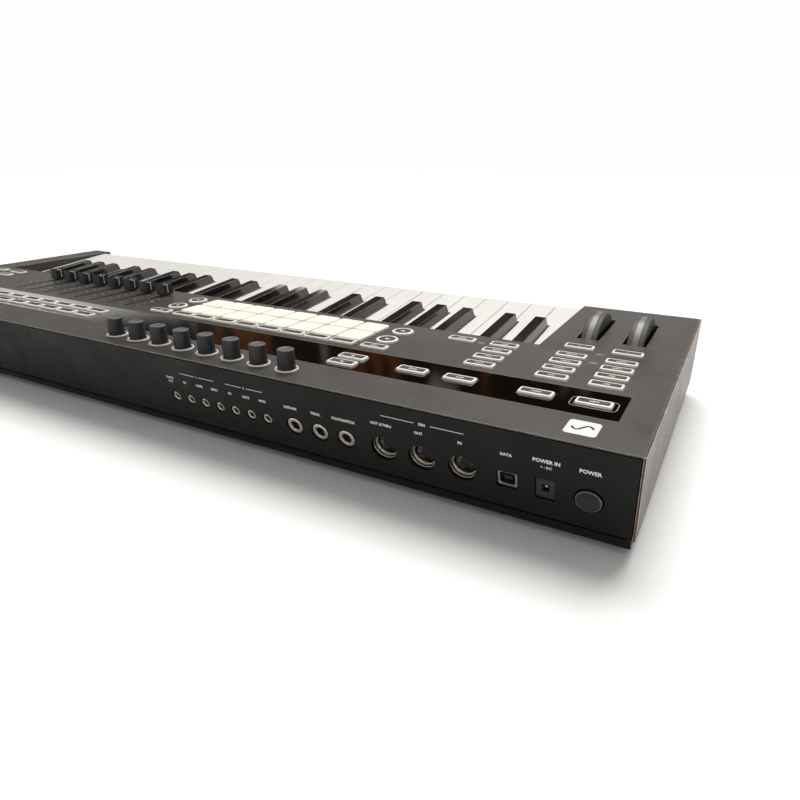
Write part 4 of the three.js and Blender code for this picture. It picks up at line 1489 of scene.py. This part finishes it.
        # The rounded rim takes the lighter finish: a painted highlight.
        self.barrel(draft, 24.0, section, [0, 0, 0, 0, 1, 1, 0, 0, 0, 0, 0], 56)
        shop.make("power_cap", draft, ["hub", "control_highlight"], "power_button", Slot.CONTROL, ["power_button"])


# ---- Print ------------------------------------------------------------------------------------
@dataclass(frozen=True)
class Word:
    """One printed word: its text, centre and height of capitals in millimetres."""

    text: str
    u: float
    down: float
    height: float = 2.3


@dataclass
class PrintedLegends(SubAssembly):
    """Words, brackets and the plain badge."""

    rear: tuple[Word, ...] = (
        Word("POWER", 24.0, 17.5, 2.6),
        Word("POWER IN", 47.6, 17.0, 2.5),
        Word("+ - DC", 47.6, 21.2, 1.7),
        Word("DATA", 70.3, 18.5, 2.0),
        Word("IN", 98.3, 18.0, 2.0),
        Word("OUT", 125.0, 18.0, 2.0),
        Word("OUT 2/THRU", 151.0, 18.0, 2.0),
        Word("DIN", 122.0, 11.0, 2.0),
        Word("FOOTSWITCH", 179.5, 22.0, 2.1),
        Word("PEDAL", 201.0, 22.0, 2.1),
        Word("SUSTAIN", 222.0, 22.0, 2.1),
        Word("MOD", 245.9, 22.0, 2.0),
        Word("GATE", 260.7, 22.0, 2.0),
        Word("CV", 275.5, 22.0, 2.0),
        Word("MOD", 290.3, 22.0, 2.0),
        Word("GATE", 305.1, 22.0, 2.0),
        Word("CV", 319.9, 22.0, 2.0),
        Word("CLOCK", 334.7, 20.0, 1.8),
        Word("OUT", 334.7, 23.4, 1.8),
        Word("2", 260.7, 14.5, 1.8),
        Word("1", 305.1, 14.5, 1.8),
    )
    brackets: tuple[tuple[float, float, float], ...] = (
        (95.0, 116.5, 11.0),
        (127.5, 150.0, 11.0),
        (244.0, 258.5, 14.5),
        (263.0, 277.5, 14.5),
        (288.5, 303.0, 14.5),
        (307.3, 322.0, 14.5),
    )

    def build(self, shop: Workshop) -> None:
        """Prints the rear panel, the top panel and the badge.

        Args:
            shop: Makes the objects.
        """
        rear = Draft(Local.REAR)
        for w in self.rear:
            points, faces = shop.word(w.text, w.height)
            flat = points * (-0.92, 1.0) + (w.u, -w.down)
            placed = np.column_stack([flat[:, 0], np.full(len(flat), LAYER), flat[:, 1]])
            rear.put(placed, faces, [0] * len(faces), False)
        for u0, u1, w in self.brackets:
            printed_box(rear, ((u0 + u1) / 2, -w), (u1 - u0, 0.35))
        shop.make("rear_print", rear, ["white_ink"], "case", Slot.CASE_BLACK)
        top = Draft()
        for text, u, v in (("SHIFT +", 54.5, 132.5), ("HOLD", 54.5, 154.0), ("MODE", 140.5, 139.0)):
            points, faces = shop.word(text, 1.5)
            flat = points * (0.9, 1.0) + (u, -v)
            top.put(np.column_stack([flat, np.full(len(flat), LAYER)]), faces, [0] * len(faces), False)
        shop.make("panel_print", top, ["white_ink"], "case", Slot.CASE_TOP)
        self.badge(shop)

    def badge(self, shop: Workshop) -> None:
        """Makes the badge: a white rounded label with a plain wave line.

        Args:
            shop: Makes the objects.
        """
        draft = Draft()
        centre = (34.0, -19.8)
        draft.stack(
            lambda inset: rounded(17.6 - 2 * inset, 18.6 - 2 * inset, 2.2, 5),
            [(0, 0.0), (0, 0.1), (0.12, 0.18)],
            centre,
            start=False,
        )
        t = np.linspace(-1, 1, 41)
        x, y = 6.0 * t, 3.2 * np.sin(t * math.pi)
        slope = 3.2 * math.pi / 6.0 * np.cos(t * math.pi)
        normal = np.stack([-slope, np.ones_like(t)], 1) / np.sqrt(1 + slope**2)[:, None]
        line = np.stack([x, y], 1)
        outline = np.concatenate([line - 0.75 * normal, (line + 0.75 * normal)[::-1]]) + centre
        k = len(t)
        faces = [(i, i + 1, 2 * k - 2 - i, 2 * k - 1 - i) for i in range(k - 1)]
        draft.put(np.column_stack([outline, np.full(2 * k, 0.2)]), faces, [1] * len(faces), False)
        shop.make("badge", draft, ["white_ink", "dark"], "case", Slot.CASE_TOP)


# ---- Stage ------------------------------------------------------------------------------------
@dataclass
class Stage:
    """Floor, lights, sky and camera."""

    position: tuple[float, float, float] = (-0.43223, 0.43936, 0.20759)
    yaw: float = 0.507
    pitch: float = 0.388
    lens: float = 27.65

    def build(self) -> None:
        """Sets everything round the object."""
        bpy.context.scene.view_settings.view_transform = "Standard"
        self.floor()
        self.sky()
        self.sun()
        self.light("back fill", (-0.9, 1.5, 0.9), (-0.1, 0.1, 0.03), (0.9, 0.5), 3.0, "f6f8ff")
        self.camera()

    def floor(self) -> None:
        """Makes the pale floor."""
        mesh = bpy.data.meshes.new("floor")
        size = 6.0
        corners = [(-size, -size, 0), (size, -size, 0), (size, size, 0), (-size, size, 0)]
        mesh.from_pydata(corners, [], [(0, 1, 2, 3)])
        finish = Finish("pale studio floor", "fbfaf8", "f5f4f1", 0.7, grain_depth=0.02, variety=0.1)
        mesh.materials.append(finish.build())
        floor = bpy.data.objects.new("floor", mesh)
        bpy.context.scene.collection.objects.link(floor)

    def sky(self) -> None:
        """Makes the surround: white up to 12 degrees, then dim, with a brown room on the player's side.

        The room's upright streaks come from noise that is stretched along the height.
        """
        world = bpy.data.worlds.new("surround")
        world.use_nodes = True
        tree = world.node_tree
        make = Shader(tree)
        place = make.add("ShaderNodeTexCoord").outputs["Object"]
        axes = make.add("ShaderNodeSeparateXYZ", links={"Vector": place}).outputs
        streaks = make.add(
            "ShaderNodeTexNoise",
            {"Scale": 3.2, "Detail": 2.0},
            {
                "Vector": make.add(
                    "ShaderNodeMapping", {"Scale": (3.0, 3.0, 0.6)}, {"Vector": place}
                ).outputs[0]
            },
        ).outputs["Fac"]
        room = make.add("ShaderNodeValToRGB", links={"Fac": streaks})
        stops = (
            (0.34, "8a867c"),
            (0.4, "16100d"),
            (0.5, "241811"),
            (0.55, "6b3d1a"),
            (0.59, "1a1512"),
            (0.68, "96918a"),
        )
        self.ramp(room, stops)
        white = make.add(
            "ShaderNodeMapRange", {"From Min": 0.2, "From Max": 0.24, "To Min": 1.0, "To Max": 0.0}
        )
        top = make.add(
            "ShaderNodeMapRange", {"From Min": 0.55, "From Max": 0.95, "To Min": 0.0, "To Max": 0.6}
        )
        sides = make.add(
            "ShaderNodeMapRange", {"From Min": -0.6, "From Max": -0.4, "To Min": 0.0, "To Max": 1.0}
        )
        for node, axis in ((white, "Z"), (top, "Z"), (sides, "Y")):
            tree.links.new(axes[axis], node.inputs["Value"])
        share = make.add(
            "ShaderNodeMath", links={0: white.outputs[0], 1: top.outputs[0]}, operation="ADD", use_clamp=True
        ).outputs[0]
        dim = make.add(
            "ShaderNodeMix",
            {"B": linear("5c5955")},
            {"Factor": sides.outputs[0], "A": room.outputs[0]},
            data_type="RGBA",
        ).outputs["Result"]
        colour = make.add(
            "ShaderNodeMix", {"B": linear("fffefc")}, {"Factor": share, "A": dim}, data_type="RGBA"
        ).outputs["Result"]
        background = make.add("ShaderNodeBackground", {"Strength": 1.0}, {"Color": colour})
        make.add("ShaderNodeOutputWorld", links={"Surface": background.outputs[0]})
        bpy.context.scene.world = world

    def ramp(self, node: bpy.types.Node, stops: Sequence[tuple[float, str]]) -> None:
        """Sets the colours of a colour ramp.

        Args:
            node: The ramp node.
            stops: (position, sRGB hex) pairs.
        """
        elements = node.color_ramp.elements
        while len(elements) < len(stops):
            elements.new(0.5)
        for element, (at, colour) in zip(elements, stops, strict=True):
            element.position = at
            element.color = linear(colour)

    def sun(self) -> None:
        """Adds one wide, soft light from beyond the keys, so that the rear panel is in shade."""
        lamp = bpy.data.lights.new("soft overhead", "SUN")
        lamp.energy = 3.2
        lamp.angle = math.radians(45)
        lamp.color = linear("ffffff")[:3]
        thing = bpy.data.objects.new("soft overhead", lamp)
        thing.rotation_euler = Vector((-0.12, 0.5, -1.0)).to_track_quat("-Z", "Y").to_euler()
        bpy.context.scene.collection.objects.link(thing)

    def light(
        self,
        name: str,
        place: tuple[float, float, float],
        target: tuple[float, float, float],
        size: tuple[float, float],
        power: float,
        colour: str,
    ) -> None:
        """Adds one area light.

        Args:
            name: Its name.
            place: Where it is.
            target: What it points at.
            size: Its width and height in metres.
            power: Its power in watts.
            colour: sRGB hex colour.
        """
        lamp = bpy.data.lights.new(name, "AREA")
        lamp.shape = "RECTANGLE"
        lamp.size, lamp.size_y = size
        lamp.energy = power
        lamp.color = linear(colour)[:3]
        thing = bpy.data.objects.new(name, lamp)
        thing.location = place
        thing.rotation_euler = (Vector(target) - Vector(place)).to_track_quat("-Z", "Y").to_euler()
        bpy.context.scene.collection.objects.link(thing)

    def camera(self) -> None:
        """Places the camera behind the player's left, above the rear panel."""
        forward = Vector(
            (
                math.sin(self.yaw) * math.cos(self.pitch),
                -math.cos(self.yaw) * math.cos(self.pitch),
                -math.sin(self.pitch),
            )
        )
        right = Vector((-math.cos(self.yaw), -math.sin(self.yaw), 0.0))
        up = right.cross(forward)
        turn = Matrix((right, up, -forward)).transposed()
        view = bpy.data.cameras.new("camera")
        view.lens = self.lens
        view.sensor_width = 36.0
        view.clip_start, view.clip_end = 0.01, 50.0
        thing = bpy.data.objects.new("camera", view)
        thing.matrix_world = Matrix.Translation(self.position) @ turn.to_4x4()
        bpy.context.scene.collection.objects.link(thing)
        bpy.context.scene.camera = thing


def button_mats() -> list[ButtonMat]:
    """The four button mats.

    Returns:
        Left block, lens strip, pad surround and transport.
    """
    rows = [ROW_V + i * ROW_PITCH for i in range(4)]
    fifth = rows[3] + 23.8
    left = [
        *(
            Button(LEFT_U[0], v, m)
            for v, m in zip([*rows, fifth], ("KEY", "SEQ", "HOLD", "CHAIN", "-"), strict=True)
        ),
        *(
            Button(LEFT_U[1], v, m)
            for v, m in zip([*rows, fifth], ("ARP", "LATCH", "SCALE", "CHORD", "+"), strict=True)
        ),
        *(Button(MIDDLE_U, v, m) for v, m in zip(rows, ("COPY", "STEP", "CLEAR", "EDIT"), strict=True)),
        Button(SINGLE_U, rows[3], "TEMPO"),
    ]
    strip = [
        Button(LEFT_U[0], 57.0, "SHIFT"),
        Button(LEFT_U[1], 57.0, "MENU"),
        Button(MIDDLE_U, 57.0, "SAVE"),
        Button(SINGLE_U, 57.0, "BACK"),
    ]
    last = FADER_U + 8 * CHANNEL_PITCH + 3
    for u in [SIDE_U, *(FADER_U + i * CHANNEL_PITCH for i in range(8)), last]:
        strip += [
            Button(u, 47.2, "up" if u == SIDE_U else ""),
            Button(u, 61.2, "down" if u == SIDE_U else ""),
        ]
    soft = [Button(PAD_U + i * CHANNEL_PITCH, ROW_V) for i in range(8)]
    for u, signs in ((SIDE_U, ("up", "down")), (RIGHT_SIDE_U, ("right", "right"))):
        soft += [
            Button(u, ROW_V, "GRID" if u == SIDE_U else "OPT"),
            Button(u, 110.0, signs[0], True),
            Button(u, 135.5, signs[1], True),
        ]
    moves = ("REW", "FWD", "STOP", "PLAY", "REC", "LOOP")
    transport = [
        Button(PANEL_WIDTH - u, v, m)
        for (u, v), m in zip([(u, v) for v in rows[1:] for u in LEFT_U[::-1]], moves, strict=True)
    ]
    return [
        ButtonMat("left_buttons", "left_button_mat", tuple(left)),
        ButtonMat("strip_buttons", "strip_button_mat", tuple(strip)),
        ButtonMat("pad_buttons", "pad_button_mat", tuple(soft)),
        ButtonMat("transport_buttons", "transport_button_mat", tuple(transport)),
    ]


def main() -> None:
    """Builds the whole scene."""
    logging.basicConfig(level=logging.INFO)
    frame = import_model()
    shop = Workshop(frame)
    assemblies: list[SubAssembly] = [
        CaseShell(),
        WindowStrip(),
        KnobBank(),
        FaderBank(),
        PadGrid(),
        *button_mats(),
        WheelPair(),
        Keyboard(),
        SocketPanel(),
        PrintedLegends(),
    ]
    for assembly in assemblies:
        LOG.info("building %s", type(assembly).__name__)
        assembly.build(shop)
    Stage().build()


if __name__ == "__main__":
    main()
